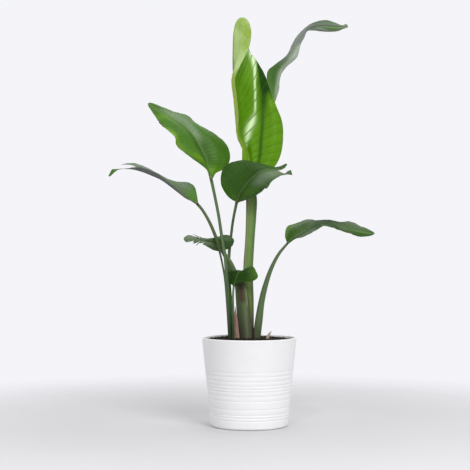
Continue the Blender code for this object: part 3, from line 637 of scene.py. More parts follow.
def seat(made, node):
    """Let a finished piece stand for its CAD node."""
    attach(made, BODY)
    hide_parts(node)


# ---------------------------------------------------------------------------------------------
# Leaf blades. A run goes from 0 at the base to 1 at the tip, and a share from 0 at the midrib to 1
# at the margin. A place counts the stations from the base.

STEP_ALONG = 0.02       # stations between two points that give a direction
NECK_REACH = 0.3        # stations over which a blade leaves the plane of its neck
EDGE_WAVE = 0.010       # unevenness of the margin, as a share of the half blade
TIP_LENGTH = 0.035      # length of a rounded tip, as a share of the blade
WELL_PLEATED = 25       # a half blade narrower than this, in millimetres, is pleated less
CHANNEL_DEPTH, CHANNEL_WIDTH = 1.2, 3.0     # the channel of the pale midrib on the upper side
RIB_SINK = 0.9          # depth of the midrib in its channel
RIB_SLIM = 1.5          # least half width of the midrib where the blade begins to widen
RIB_TIP_WIDTH = 0.7     # half width of the midrib at its end
RIB_TIP_KEEL, RIB_TIP_CREST = 0.8, 0.1      # how far it reaches down and up there
RIB_EDGE = 0.05         # painted on the midrib as its distance from the margin, in metres
RIB_ROWS, RIB_SIDES = 90, 14
SHRED_FACING = (0.0, -1.0, 0.3)     # the way that shreds face
SHRED_VEINS = 0.004     # painted on a shred in place of its veins
SHRED_ROWS, SHRED_COLUMNS = 24, 5


def blade_frame(leaf, at):
    """Midrib, margins, direction along the blade and its spread at places along it.

    The spread runs from the left margin to the right one. Its length is 2 where the blade lies
    open, and 0 where its halves are folded together.
    """
    mid, left, right = (curve([s[k] for s in leaf.stations], at) for k in range(3))
    middles = [s[0] for s in leaf.stations]
    along = unit(curve(middles, at + STEP_ALONG) - curve(middles, at - STEP_ALONG))
    spread = unit(right - mid) - unit(left - mid)
    return mid, left, right, along, spread


def blade_start(leaf):
    """Where a blade starts, and its direction there."""
    start = np.array(leaf.stations[0][0], float)
    ahead = curve([s[0] for s in leaf.stations], np.array([STEP_ALONG]))[0] - start
    return start, ahead / np.linalg.norm(ahead)


def blade_limits(name, side, run, seed):
    """Inner and outer limit of a half blade along it: nicks and a torn tip shorten it."""
    outer = 1 - EDGE_WAVE * (1 + waves(seed + 7, run, 5, 3)) * np.sin(math.pi * run)
    for nick in LEAVES[name].nicks:
        if nick.side == side:
            away = np.abs(run - nick.run) / nick.half_width
            slit = np.clip(1 - away, 0, 1) ** 0.7
            scoop = np.clip(1 - away ** 2, 0, 1) ** 2
            outer = outer - nick.depth * (slit if nick.slit else scoop)
    inner = np.zeros_like(run)
    if (name, side) in TIPS:
        places, inners, outers = np.array(TIPS[name, side], float).T
        inner = np.interp(run, places, inners)
        outer = outer * np.interp(run, places, outers)
    else:
        # a whole tip is rounded off, and keeps a little width at its end
        near_tip = np.clip((run - (1 - TIP_LENGTH)) / TIP_LENGTH, 0, 1)
        outer = outer * np.sqrt(1 - 0.98 * near_tip ** 2)
    return inner, outer


def blade_half(name, side, rows, columns, seed):
    """Points of one half blade, its upper normals and its painted vectors."""
    leaf = LEAVES[name]
    last = len(leaf.stations) - 1
    sign = 1 if side == "right" else -1
    run = np.linspace(0, 1, rows)[:, None]
    share = np.linspace(0, 1, columns)[None, :] ** 0.9
    lean = leaf.lean * (1 - (1 - share) ** 1.3)
    at = last * (run + lean * np.sin(math.pi * run))
    mid, left, right, along, spread = blade_frame(leaf, at)
    reach = (right if side == "right" else left) - mid
    wide = np.linalg.norm(reach, axis=-1)
    inner, outer = blade_limits(name, side, run, seed)
    reached = inner + (outer - inner) * share

    # the sheet, swollen most where the blade is wide and lies open
    place = mid + reach * reached[..., None]
    upper = unit(np.cross(reach * sign, along))
    openness = np.linalg.norm(spread, axis=-1) / 2
    envelope = np.sin(math.pi * np.clip(at / last, 0, 1)) ** 0.7
    swell = leaf.right_swell if side == "right" else leaf.left_swell
    raised = swell_height(swell, at / last, reached) * envelope * openness ** 2
    place = place + upper * raised[..., None]

    # the first row lies in the plane of the neck
    start, onward = blade_start(leaf)
    flat = np.clip(1 - at / NECK_REACH, 0, 1)
    place = place - onward * ((place - start) @ onward * flat)[..., None]

    phase = leaf.veins * run + 0.25 * waves(seed, run, 3) + (0.5 if side == "left" else 0)
    relief = blade_relief(leaf, run, reached, wide, phase, seed)
    place = place + grid_normals(place, sign) * relief[..., None]

    across = wide * reached * MM
    edge = wide * np.minimum(outer - reached, np.where(inner > 0, reached - inner, 1)) * MM
    # the third vector is painted light: light shining through the blade, shade and sheen
    marks = {"leaf_veins": painted(phase, across, edge),
             "leaf_way": painted(np.clip(at / last, 0, 1), run, sign),
             "leaf_tone": blade_light_shade_sheen(leaf, side, run, at / last, reached)}
    return place, grid_normals(place, sign), marks


def blade_relief(leaf, run, reached, wide, phase, seed):
    """Height of a half blade's pleats, of its ruffled margin and of the channel at its midrib."""
    body = np.clip(wide / WELL_PLEATED, 0, 1)
    fade = ease(0.0, 0.16, reached) * (1 - 0.5 * ease(0.85, 1.0, reached)) * body
    pleat = leaf.pleat * (0.8 + 0.4 * waves(seed + 1, run + 0.2 * reached, 4))
    lift = -0.5 * pleat * fade * np.cos(2 * math.pi * phase)
    ruffle = leaf.ruffle * reached ** 3 * np.sin(math.pi * run) * waves(seed + 2, run, 3.5) * body
    hollow = np.exp(-(wide * reached / CHANNEL_WIDTH) ** 2)
    return lift + ruffle - CHANNEL_DEPTH * hollow * rib_fade(run)


def rib_fade(run):
    """How deep the midrib still lies in its channel: less and less towards the tip."""
    return np.clip(1.15 - run, 0, 1)


def blade_light_shade_sheen(leaf, side, run, along, share):
    """How much painted light, painted shade and painted sheen each point of a half blade gets."""
    tone = np.zeros((*share.shape, len(TINT_KINDS)))
    for tint in leaf.tints:
        if tint.side == side:
            far = ((run - tint.run) / tint.long) ** 2 + ((share - tint.share) / tint.wide) ** 2
            tone[..., TINT_KINDS.index(tint.kind)] += tint.strength * np.exp(-far)
    for band in leaf.bands:
        if band.side == side:
            places, *columns = np.array(band.path, float).T
            middle, wide, strength = (np.interp(along, places, column) for column in columns)
            far = ((share - middle) / wide) ** 2
            tone[..., TINT_KINDS.index(band.kind)] += strength * np.exp(-far)
    return np.clip(tone, 0, 1)


def grid_normals(place, sign):
    """Upper normals of a half blade, from its grid of points."""
    outward = np.gradient(place, axis=1)
    onward = np.gradient(place, axis=0)
    return unit(np.cross(outward, onward) * sign)


def add_half(form, name, side, rows, columns, seed, thickness):
    """Add one half blade as a closed sheet that thins out towards its margin."""
    place, normal, marks = blade_half(name, side, rows, columns, seed)
    thick = thickness / 2 * (1 - 0.5 * np.linspace(0, 1, columns)[None, :, None] ** 4)
    form.add_sheet(place, normal * thick, (UPPER, UNDER), flip=(side == "left"), **marks)


def add_rib(form, name):
    """Add the midrib: a slender keel on the underside that grows out of the stalk."""
    leaf = LEAVES[name]
    last = len(leaf.stations) - 1
    at = np.linspace(0, last * leaf.rib_end, RIB_ROWS)
    mid, _, _, along, spread = blade_frame(leaf, at)
    upper = unit(np.cross(spread, along))
    across = np.cross(along, upper)
    run = at / last

    # each measure is the thin one at the tip, grows evenly down the blade, and swells at the neck
    half_width, depth = leaf.neck[0] / 2, leaf.neck[1] / 2
    slim = max(half_width * 0.30, RIB_SLIM)
    grown = 1 - run
    width = RIB_TIP_WIDTH + (slim - RIB_TIP_WIDTH) * grown + (half_width - slim) * neck_swell(at, 0.55)
    keel = RIB_TIP_KEEL + (depth * 0.62 - RIB_TIP_KEEL) * grown + depth * 0.38 * neck_swell(at, 0.8)
    crest = RIB_TIP_CREST + 0.25 * grown + depth * 0.3 * neck_swell(at, 0.5)
    sunk = mid - upper * (RIB_SINK * rib_fade(run) * (1 - neck_swell(at, 0.6)))[:, None]

    angle = round_angles(RIB_SIDES)
    lift = np.sin(angle)
    height = lift * np.where(lift > 0, crest[:, None], keel[:, None])
    points = section(sunk, across, np.cos(angle) * width[:, None], upper, height)
    form.add_tube(points * MM, RIB, flip=True, leaf_veins=painted(angle / (2 * math.pi), 0, RIB_EDGE),
                  leaf_way=painted(run[:, None], lift, 0))


def neck_swell(at, reach):
    """1 at the neck of a blade, and fading out over the given number of stations."""
    return np.exp(-(at / reach) ** 2)


def add_shred(form, root, middle, tip, width, slot, thickness):
    """Add a thin strip torn from a blade, tapered to a point."""
    run = np.linspace(0, 1, SHRED_ROWS)
    spine = curve([root, middle, tip], run * 2)
    along = unit(np.gradient(spine, axis=0))
    across = unit(np.cross(along, SHRED_FACING))
    half = width / 2 * np.sin(math.pi * (0.25 + 0.72 * run)) ** 0.8
    share = np.linspace(-1, 1, SHRED_COLUMNS)
    place = spine[:, None] + across[:, None] * (half[:, None] * share)[..., None]
    normal = unit(np.cross(across, along))[:, None] * (thickness / 2)
    form.add_sheet(place, normal, (slot, slot), leaf_veins=SHRED_VEINS, leaf_way=0.5)


# ---------------------------------------------------------------------------------------------
# Stalks

def add_stalk(form, name, rows, sides):
    """Add a grooved stalk through its rings, up into the neck of its blade."""
    facing, rings = STALKS[name]
    start, onward = blade_start(LEAVES[name])
    foot = (*rings[0][:2], STALK_FOOT, *rings[0][3:])
    neck = (*(start + onward * NECK_TUCK), *LEAVES[name].neck, NECK_GROOVE)
    rings = np.array([foot, *rings, neck], float)
    at = np.linspace(0, len(rings) - 1, rows)
    centre = curve(rings[:, :3], at)
    along = unit(curve(rings[:, :3], at + RING_STEP) - curve(rings[:, :3], at - RING_STEP))
    along = np.where((at < STALK_UPRIGHT)[:, None], (0, 0, 1), along)
    along[-1] = onward
    width, depth, groove = curve(rings[:, 3:], at).T[..., None]
    across = unit(np.cross(along, facing))
    out = unit(np.cross(across, along))
    angle = round_angles(sides)
    lift = np.sin(angle)
    lift = np.where(lift > 0, lift * (1 - 2 * np.clip(groove, 0, 1) * lift), lift)
    points = section(centre, across, np.cos(angle) * width / 2, out, depth / 2 * lift)
    run = np.cumsum(np.r_[0, np.linalg.norm(np.diff(centre, axis=0), axis=1)])[:, None]
    turn = (angle - math.pi / 2) / math.pi
    turn = np.where(turn > 1, turn - 2, turn)[None, :]
    form.add_tube(points * MM, 0, stalk_way=painted(turn, run * MM, run / run[-1]),
                  stalk_tone=stalk_tone(name, turn, centre[:, 2:]))


def stalk_tone(name, turn, level):
    """How brown, pale and red each point of a stalk is."""
    tone = np.zeros((level.shape[0], turn.shape[1], len(STREAK_KINDS)))
    for streak in STREAKS.get(name, ()):
        away = np.abs(turn - streak.turn)
        away = np.minimum(away, 2 - away) / streak.wide
        ends = (ease(streak.low - STREAK_OUT, streak.low + STREAK_IN, level)
                * ease(streak.high + STREAK_OUT, streak.high - STREAK_IN, level))
        tone[..., STREAK_KINDS.index(streak.kind)] += streak.strength * ends * np.exp(-away ** 2)
    return np.clip(tone, 0, 1)


# ---------------------------------------------------------------------------------------------
# Pot, soil and dry pieces

# The pot and the soil, in metres
INNER_ROUND = 0.006         # radius of the corner inside the pot
BAND_END = 0.007            # distance over which a band of ribs runs out
GLAZE_WOBBLE = 0.00012      # how far the wall is uneven from hand glazing
POLE = 0.001                # radius of the small hole that a cap closes in the middle
SOIL_RINGS, SOIL_SIDES = 90, 240
SOIL_SEED = 11
EARTH, BARK = range(2)
CRUMB_SIZE, CRUMB_GROWTH = 0.0009, 0.0042
CHIP_SIZES = (0.0025, 0.0055)

# The dry pieces, in millimetres. A row of widths is a share of the way up and the half width
# there, and a row of sizes adds the half depth.
SHEATH_FOOT, SHEATH_RISE = (-36.4, -10.9, 240), (-5.4, -3, 112)
SHEATH_WIDTHS = ((0, 8.8), (0.12, 8.8), (0.25, 8.4), (0.5, 6.6), (0.75, 4.0), (1, 0.6))
SHEATH_BEND, SHEATH_CRINKLE, SHEATH_FRAY, SHEATH_THICKNESS = 1.6, 0.5, 5, 0.6
STUB_RINGS = ((54, -22, 240), (54, -22, 260), (57, -22, 269), (65, -22, 280))
STUB_SIZES = ((0, 3.8, 2.4), (0.5, 4.2, 2.2), (0.8, 3.4, 1.4), (1, 0.5, 0.3))


def wall_radius(settings, z):
    """Outer radius of the pot's plain wall at a height."""
    return settings.foot_radius + (settings.rim_radius - settings.foot_radius) * z / settings.height


def rib_depth(z, bands):
    """How deep the wall is pressed in at a height: rounded ribs with a fine groove between."""
    depth = np.zeros_like(z)
    for band in bands:
        grooves = np.array(sorted(band))
        ends = np.r_[grooves[0] - BAND_END, grooves, grooves[-1] + BAND_END]
        inside = (z > ends[0]) & (z < ends[-1])
        place = np.interp(z, ends, np.arange(len(ends)))
        groove = 1 - np.abs(np.sin(math.pi * place)) ** 0.65
        fade = np.clip(place, 0, 1) * np.clip(len(ends) - 1 - place, 0, 1)
        depth = np.where(inside, groove * fade, depth)
    return depth


def arc(radius, height, size, start, end, count):
    """Points (radius, height) of a rounded corner, without its first one."""
    angles = np.linspace(start, end, count)[1:]
    return [(radius + size * math.cos(a), height + size * math.sin(a)) for a in angles]


def pot_profile(settings):
    """Points (radius, height) up the inside of the pot, over the rim and down to its foot."""
    lip, foot, floor = settings.wall / 2, settings.foot_round, settings.floor
    inner_foot = wall_radius(settings, floor) - settings.wall
    inner_top = settings.rim_radius - settings.wall
    low, high = floor + INNER_ROUND, settings.height - lip
    base = wall_radius(settings, foot) - foot
    points = [(r, floor) for r in np.linspace(POLE, inner_foot - INNER_ROUND, 8)]
    points += arc(inner_foot - INNER_ROUND, low, INNER_ROUND, -math.pi / 2, 0, 9)
    points += [(inner_foot + (inner_top - inner_foot) * share, low + (high - low) * share)
               for share in np.linspace(0, 1, 30)[1:]]
    points += arc(settings.rim_radius - lip, high, lip, math.pi, 0, 17)
    heights = np.linspace(high, foot, 300)[1:]
    bands = (settings.upper_grooves, settings.lower_grooves)
    pressed = rib_depth(heights, bands) * settings.groove_depth
    points += [(wall_radius(settings, z) - depth, z) for z, depth in zip(heights, pressed)]
    points += arc(base, foot, foot, 0, -math.pi / 2, 9)
    points += [(r, 0.0) for r in np.linspace(base, POLE, 8)[1:]]
    return np.array(points)


def build_pot(settings, finish):
    """The pot: a fine turned shell."""
    radius, height = pot_profile(settings).T[..., None]
    angle = round_angles(settings.sides)
    radius = radius + GLAZE_WOBBLE * np.sin(3 * angle + 1) * np.clip(radius / 0.1, 0, 1)
    form = Form()
    form.add_tube(painted(radius * np.cos(angle), radius * np.sin(angle), height), 0, flip=True)
    return form.finish("pot_shell", [finish], 70)


def soil_height(settings, x, y):
    """Height of the soil's surface."""
    share = np.clip(np.hypot(x, y) / settings.radius, 0, 1)
    mound = settings.edge_height + (settings.crown_height - settings.edge_height) * (1 - share ** 6)
    # lumps of about 20 mm, and grains of about 5 mm
    lumps = np.sin(310 * x + 1) * np.cos(270 * y) + 0.6 * np.sin(520 * y + 410 * x)
    grains = np.sin(1300 * x + 3 * np.sin(900 * y)) * np.sin(1150 * y + 2 * np.sin(1000 * x))
    return mound + settings.clod_height * (lumps + 0.45 * grains) * np.clip((1 - share) * 12, 0.3, 1)


def soil_spot(settings, chance, reach):
    """Distance and angle from the middle of the soil to a random spot."""
    return settings.radius * math.sqrt(chance.uniform(0, reach)), chance.uniform(0, 2 * math.pi)


def on_soil(settings, distance, angle, size, lift):
    """A point above the soil at a spot, kept off the wall of the pot."""
    distance = min(distance, settings.radius - size)
    x, y = distance * math.cos(angle), distance * math.sin(angle)
    return x, y, float(soil_height(settings, x, y)) + lift


def add_crumb(form, chance, centre, size, slot, stretch):
    """Add one rough crumb: a small lumpy solid."""
    rings, sides = 5, 7
    polar = np.linspace(0, math.pi, rings)[:, None]
    angle = round_angles(sides)
    ball = painted(np.sin(polar) * np.cos(angle), np.sin(polar) * np.sin(angle), np.cos(polar))
    rough = chance.uniform(0.65, 1.15, (rings, sides, 1))
    rough[0] = rough[0, 0]
    rough[-1] = rough[-1, 0]
    turn = np.linalg.qr(chance.normal(size=(3, 3)))[0]
    if np.linalg.det(turn) < 0:
        turn[:, 0] *= -1
    first = form.add_points((ball * rough * stretch @ turn.T) * size + centre)
    form.add_grid(first, rings, sides, slot, closed=True, flip=True)


def build_soil(settings, finishes):
    """The soil: a full plug with a lumpy surface, loose crumbs and a few chips of bark."""
    share = np.linspace(0.002, 1, SOIL_RINGS)[:, None] ** 0.8
    angle = round_angles(SOIL_SIDES)
    x = settings.radius * share * np.cos(angle)
    y = settings.radius * share * np.sin(angle)
    top = np.stack([x, y, soil_height(settings, x, y)], -1)
    form = Form()
    first = form.add_points(top)
    form.add_grid(first, SOIL_RINGS, SOIL_SIDES, EARTH, closed=True)
    form.add_cap(first, SOIL_SIDES, EARTH, flip=True)
    low = top[-1] * (settings.floor_radius / settings.radius)
    low[:, 2] = settings.floor_height
    skirt = form.add_points(np.stack([top[-1], low]))
    form.add_grid(skirt, 2, SOIL_SIDES, EARTH, closed=True)
    form.add_cap(skirt + SOIL_SIDES, SOIL_SIDES, EARTH)
    chance = np.random.default_rng(SOIL_SEED)
    for _ in range(settings.crumbs):
        spot = soil_spot(settings, chance, 0.97)
        size = CRUMB_SIZE + CRUMB_GROWTH * chance.beta(1.1, 4)
        stretch = (1, chance.uniform(0.6, 1), chance.uniform(0.6, 1))
        add_crumb(form, chance, on_soil(settings, *spot, size, 0.35 * size), size, EARTH, stretch)
    for _ in range(settings.chips):
        spot = soil_spot(settings, chance, 0.9)
        size = chance.uniform(*CHIP_SIZES)
        stretch = (1, chance.uniform(0.2, 0.4), 0.12)
        add_crumb(form, chance, on_soil(settings, *spot, size, 0.0008), size, BARK, stretch)
    return form.finish("potting_soil", finishes, 50)


def build_dry_sheath(finish):
    """The dry sheath: a thin papery spent leaf base, split and frayed at its top."""
    run = np.linspace(0, 1, 70)[:, None]
    share = np.linspace(-1, 1, 22)
    half_width = np.interp(run, *zip(*SHEATH_WIDTHS))
    frayed = SHEATH_FRAY * np.abs(waves(5, share, 1.3, 4)) * run ** 6
    bent = SHEATH_BEND * share ** 2 + SHEATH_CRINKLE * waves(4, run * 2 + share * 0.4, 1.5)
    aside = share * half_width + SHEATH_CRINKLE * waves(3, run, 2)
    place = np.array(SHEATH_FOOT) + np.array(SHEATH_RISE) * run[..., None] + painted(aside, bent, -frayed)
    normal = unit(np.cross(np.gradient(place, axis=1), np.gradient(place, axis=0)))
    form = Form()
    form.add_sheet(place, normal * SHEATH_THICKNESS / 2, (0, 0),
                   stalk_way=painted(share * 0.5, run * 0.09, run))
    return form.finish("dry_papery_sheath", [finish])


def build_dry_stub(finish):
    """The dry stub: a short folded tan husk that ends in a point."""
    run = np.linspace(0, 1, 40)
    centre = curve(STUB_RINGS, run * (len(STUB_RINGS) - 1))
    places, widths, depths = zip(*STUB_SIZES)
    run = run[:, None]
    angle = round_angles(20)
    crease = 1 - 0.35 * np.exp(-((angle - math.pi / 2) / 0.5) ** 2)
    rough = 1 + 0.08 * waves(8, angle + run * 3, 1.2)
    x = np.cos(angle) * crease * np.interp(run, places, widths) * rough
    y = np.sin(angle) * crease * np.interp(run, places, depths) * rough
    form = Form()
    form.add_tube((centre[:, None, :] + painted(x, y, 0)) * MM, 0,
                  stalk_way=painted(angle / math.pi - 1, run * 0.035, run))
    return form.finish("dry_husk_stub", [finish])


# ---------------------------------------------------------------------------------------------
# Shader building

class Wiring:
    """Adds and joins nodes in a material or a node group."""

    def __init__(self, tree):
        self.tree = tree

    def add(self, kind, **values):
        """Add a node with its properties set."""
        made = self.tree.nodes.new(kind)
        for name, value in values.items():
            setattr(made, name, value)
        return made

    def plug(self, socket, value):
        """Set a socket to a number or a colour, or link another socket into it."""
        if isinstance(value, bpy.types.NodeSocket):
            self.tree.links.new(value, socket)
        elif value is not None:
            if socket.type == 'RGBA' and len(value) == 3:
                value = (*value, 1.0)
            socket.default_value = value

    def fill(self, made, *values, **named):
        """Plug values into a node, in order or by name with _ for a space. Return its outputs."""
        for socket, value in zip(made.inputs, values):
            self.plug(socket, value)
        for name, value in named.items():
            self.plug(made.inputs[name.replace("_", " ")], value)
        return made.outputs

    def calculate(self, operation, a, b=None, clamp=False):
        """What an operation makes of one or two values."""
        made = self.add("ShaderNodeMath", operation=operation, use_clamp=clamp)
        return self.fill(made, a, b)[0]

    def plus(self, a, b, clamp=False):
        """The sum of two values."""
        return self.calculate('ADD', a, b, clamp)

    def minus(self, a, b):
        """The difference of two values."""
        return self.calculate('SUBTRACT', a, b)

    def times(self, a, b):
        """The product of two values."""
        return self.calculate('MULTIPLY', a, b)

    def blend(self, factor, a, b):
        """A mix of two colours."""
        made = self.add("ShaderNodeMix", data_type='RGBA')
        self.plug(made.inputs[0], factor)
        self.plug(made.inputs[6], a)
        self.plug(made.inputs[7], b)
        return made.outputs[2]

    def spread(self, value, low, high, to_low=0.0, to_high=1.0):
        """A value eased from one range to another, and held at the ends."""
        made = self.add("ShaderNodeMapRange", interpolation_type='SMOOTHSTEP')
        return self.fill(made, value, low, high, to_low, to_high)[0]

    def noise(self, vector, scale, detail, roughness=0.55):
        """A soft noise between 0 and 1, with so many patches to the metre."""
        return self.fill(self.add("ShaderNodeTexNoise"), Vector=vector, Scale=scale, Detail=detail,
                         Roughness=roughness)[0]

    def place(self):
        """Coordinates of the piece in metres."""
        return self.add("ShaderNodeTexCoord").outputs["Object"]

    def split(self, vector):
        """The three parts of a vector."""
        return self.fill(self.add("ShaderNodeSeparateXYZ"), vector)

    def mark(self, name):
        """The three numbers painted on the mesh under a name."""
        read = self.add("ShaderNodeAttribute", attribute_name=name, attribute_type='GEOMETRY')
        return self.split(read.outputs["Vector"])

    def vector(self, x, y, z):
        """A vector of three values."""
        return self.fill(self.add("ShaderNodeCombineXYZ"), x, y, z)[0]

    def group(self, name, **values):
        """Place a shared node group."""
        return self.fill(self.add("ShaderNodeGroup", node_tree=shared_group(name)), **values)

    def mottle(self, vector, scale):
        """Soft uneven patches."""
        return self.group("Soft Mottle", Vector=vector, Scale=scale)["Value"]

    def bump(self, height, distance, strength, under=None):
        """A normal raised by a height, on top of another normal if one is given."""
        return self.fill(self.add("ShaderNodeBump"), Height=height, Distance=distance,
                         Strength=strength, Normal=under)[0]


def new_group(name, inputs, outputs):
    """A new node group: its tree, its wiring, and the sockets of its inputs and outputs."""
    tree = bpy.data.node_groups.new(name, "ShaderNodeTree")
    for label, kind, value in inputs:
        socket = tree.interface.new_socket(label, in_out='INPUT', socket_type=kind)
        if value is not None:
            socket.default_value = value
    for label, kind in outputs:
        tree.interface.new_socket(label, in_out='OUTPUT', socket_type=kind)
    wiring = Wiring(tree)
    given = wiring.add("NodeGroupInput").outputs
    taken = wiring.add("NodeGroupOutput").inputs
    return tree, wiring, given, taken


FLOAT, VECTOR = "NodeSocketFloat", "NodeSocketVector"


def mottle_group(name):
    """Soft uneven patches."""
    tree, w, given, taken = new_group(
        name,
        (("Vector", VECTOR, None), ("Scale", FLOAT, 20.0), ("Low", FLOAT, 0.35), ("High", FLOAT, 0.65)),
        (("Value", FLOAT),))
    cloud = w.noise(given["Vector"], given["Scale"], 3.0)
    w.plug(taken["Value"], w.spread(cloud, given["Low"], given["High"]))
    return tree


def vein_group(name):
    """Parallel veins of a blade: a main vein at each whole phase, and fine lines between."""
    tree, w, given, taken = new_group(
        name,
        (("Phase", FLOAT, 0.0), ("Width", FLOAT, 0.08), ("Fine Lines", FLOAT, 7.0)),
        (("Main", FLOAT), ("Fine", FLOAT), ("Height", FLOAT)))
    within = w.minus(w.calculate('FRACT', w.plus(given["Phase"], 0.5)), 0.5)
    main = w.spread(w.calculate('ABSOLUTE', within), 0.0, given["Width"], 1.0, 0.0)
    turns = w.times(w.times(given["Phase"], given["Fine Lines"]), 2 * math.pi)
    fine = w.plus(w.times(w.calculate('SINE', turns), 0.5), 0.5)
    w.plug(taken["Main"], main)
    w.plug(taken["Fine"], fine)
    w.plug(taken["Height"], w.minus(w.times(fine, 0.5), main))
    return tree


def margin_group(name):
    """Dry brown edges that reach unevenly into a blade."""
    tree, w, given, taken = new_group(
        name,
        (("Edge", FLOAT, 0.01), ("Reach", FLOAT, 0.004), ("Vector", VECTOR, None), ("Scale", FLOAT, 30.0)),
        (("Thin Line", FLOAT), ("Dry", FLOAT)))
    line = w.spread(given["Edge"], 0.0004, 0.0014, 1.0, 0.0)
    patches = w.spread(w.noise(given["Vector"], given["Scale"], 4.0), 0.52, 0.72)
    reach = w.times(given["Reach"], patches)
    inside = w.minus(reach, given["Edge"])
    w.plug(taken["Thin Line"], line)
    w.plug(taken["Dry"], w.spread(inside, 0.0, 0.0015))
    return tree


def fibre_group(name):
    """Long fibres that run up a stalk or a dry sheath."""
    tree, w, given, taken = new_group(
        name,
        (("Turn", FLOAT, 0.0), ("Run", FLOAT, 0.0), ("Count", FLOAT, 12.0), ("Stretch", FLOAT, 9.0)),
        (("Streaks", FLOAT), ("Ridges", FLOAT)))
    spun = w.vector(w.times(given["Turn"], given["Count"]),
                    w.times(given["Run"], given["Stretch"]), 0.0)
    w.plug(taken["Streaks"], w.noise(spun, 1.0, 4.0, 0.6))
    fine = w.vector(w.times(given["Turn"], w.times(given["Count"], 3.0)),
                    w.times(given["Run"], given["Stretch"]), 3.0)
    w.plug(taken["Ridges"], w.noise(fine, 1.0, 2.0, 0.5))
    return tree


def dust_and_sheen_group(name):
    """A film on what faces up: settled dust and a painted sheen of the light from above."""
    tree, w, given, taken = new_group(
        name,
        (("Vector", VECTOR, None), ("Amount", FLOAT, 0.2)),
        (("Value", FLOAT),))
    up = w.split(w.add("ShaderNodeNewGeometry").outputs["Normal"])[2]
    facing = w.spread(up, 0.1, 0.9)
    patches = w.spread(w.noise(given["Vector"], 22.0, 4.0), 0.3, 0.75)
    w.plug(taken["Value"], w.times(w.times(facing, patches), given["Amount"]))
    return tree


GROUPS = {"Soft Mottle": mottle_group, "Leaf Veins": vein_group, "Dry Margin": margin_group,
          "Long Fibres": fibre_group, "Settled Dust": dust_and_sheen_group}


def shared_group(name):
    """A node group that the finishes share, built on first use."""
    return bpy.data.node_groups.get(name) or GROUPS[name](name)


def new_finish(name):
    """A new material with its Principled shader and wiring."""
    made = bpy.data.materials.new(name)
    made.use_nodes = True
    return made, Wiring(made.node_tree), made.node_tree.nodes["Principled BSDF"].inputs


# ---------------------------------------------------------------------------------------------
# Finishes

def with_light_shade_sheen(w, green, light_shade_sheen_masks, colours):
    """A blade's colour with its painted light through the blade, painted shade, and painted sheen that is
    partly a real film of wax.
    """
    for tone, colour in zip(light_shade_sheen_masks, (colours.glow, colours.depth, colours.bloom)):
        green = w.blend(tone, green, colour)
    return green


def edged(w, green, margin, settings, colours):
    """A blade's colour with a line along its margin and dried edges."""
    green = w.blend(w.times(margin["Thin Line"], 0.7), green, colours.margin)
    return w.blend(margin["Dry"], green, settings.dry_colour)


def veined(w, place, height, strength):
    """A blade's normal, with fine pores and veins that stand out by a height."""
    pores = w.bump(w.noise(place, 500.0, 2.0), 0.0001, 0.15)
    return w.bump(height, 0.0004, strength, pores)


def leaf_upper(settings, tone, colours):
    """Upper skin of a blade: glossy green with side veins, a pale midrib, dry margins, and painted light,
    shade and sheen.
    """
    made, w, skin = new_finish(f"leaf_{tone}_upper")
    phase, across, edge = w.mark("leaf_veins")
    along = w.mark("leaf_way")[0]
    light_shade_sheen_masks = w.mark("leaf_tone")
    # masks of painted light, painted shade and painted sheen from the tints and bands
    dark, bloom_and_sheen_mask = light_shade_sheen_masks[1], light_shade_sheen_masks[2]
    place = w.place()
    veins = w.group("Leaf Veins", Phase=phase, Width=colours.vein_width, Fine_Lines=colours.lines)
    broad = w.mottle(place, 14.0)
    small = w.mottle(place, 90.0)
    green = w.blend(broad, colours.main, colours.shade)
    green = w.blend(w.times(small, 0.18), green, colours.fresh)
    green = w.blend(w.times(veins["Fine"], colours.fine), green, colours.fresh)
    green = w.blend(w.spread(along, 0.0, 0.3, 0.35, 0.0), green, colours.fresh)
    green = with_light_shade_sheen(w, green, light_shade_sheen_masks, colours)
    # side veins show more within the painted sheen, and break it up
    seen = w.times(w.spread(bloom_and_sheen_mask, 0.0, 0.6, 0.35, 1.0), colours.vein_share)
    green = w.blend(w.times(veins["Main"], seen), green, colours.vein)
    # lengthwise threads streak the painted sheen
    threads = w.noise(w.vector(w.times(across, 200.0), along, 0.0), 1.0, 2.0)
    lengthwise = w.times(w.spread(threads, 0.42, 0.60), bloom_and_sheen_mask)
    lengthwise = w.times(lengthwise, colours.long_lines)
    green = w.blend(lengthwise, green, colours.main)
    green = w.blend(w.spread(across, 0.0015, 0.005, 0.45, 0.0), green, colours.rib)
    margin = w.group("Dry Margin", Edge=edge, Reach=colours.dry_reach, Vector=place)
    green = edged(w, green, margin, settings, colours)
    # a film on faces that point up: settled dust and painted sheen
    dust = w.group("Settled Dust", Vector=place, Amount=settings.dust)["Value"]
    green = w.blend(dust, green, settings.dust_and_sheen_colour)
    w.plug(skin["Base Color"], green)
    rough = w.spread(small, 0.0, 1.0, colours.gloss, colours.gloss + 0.08)
    rough = w.plus(rough, w.times(margin["Dry"], 0.35), clamp=True)
    # glossier within the painted sheen, rougher within the painted shade
    rough = w.minus(rough, w.times(bloom_and_sheen_mask, 0.14))
    rough = w.plus(rough, w.times(dark, 0.3), clamp=True)
    w.plug(skin["Roughness"], rough)
    skin["Specular IOR Level"].default_value = colours.shine
    w.plug(skin["Normal"], veined(w, place, veins["Height"], 0.3))
    return made


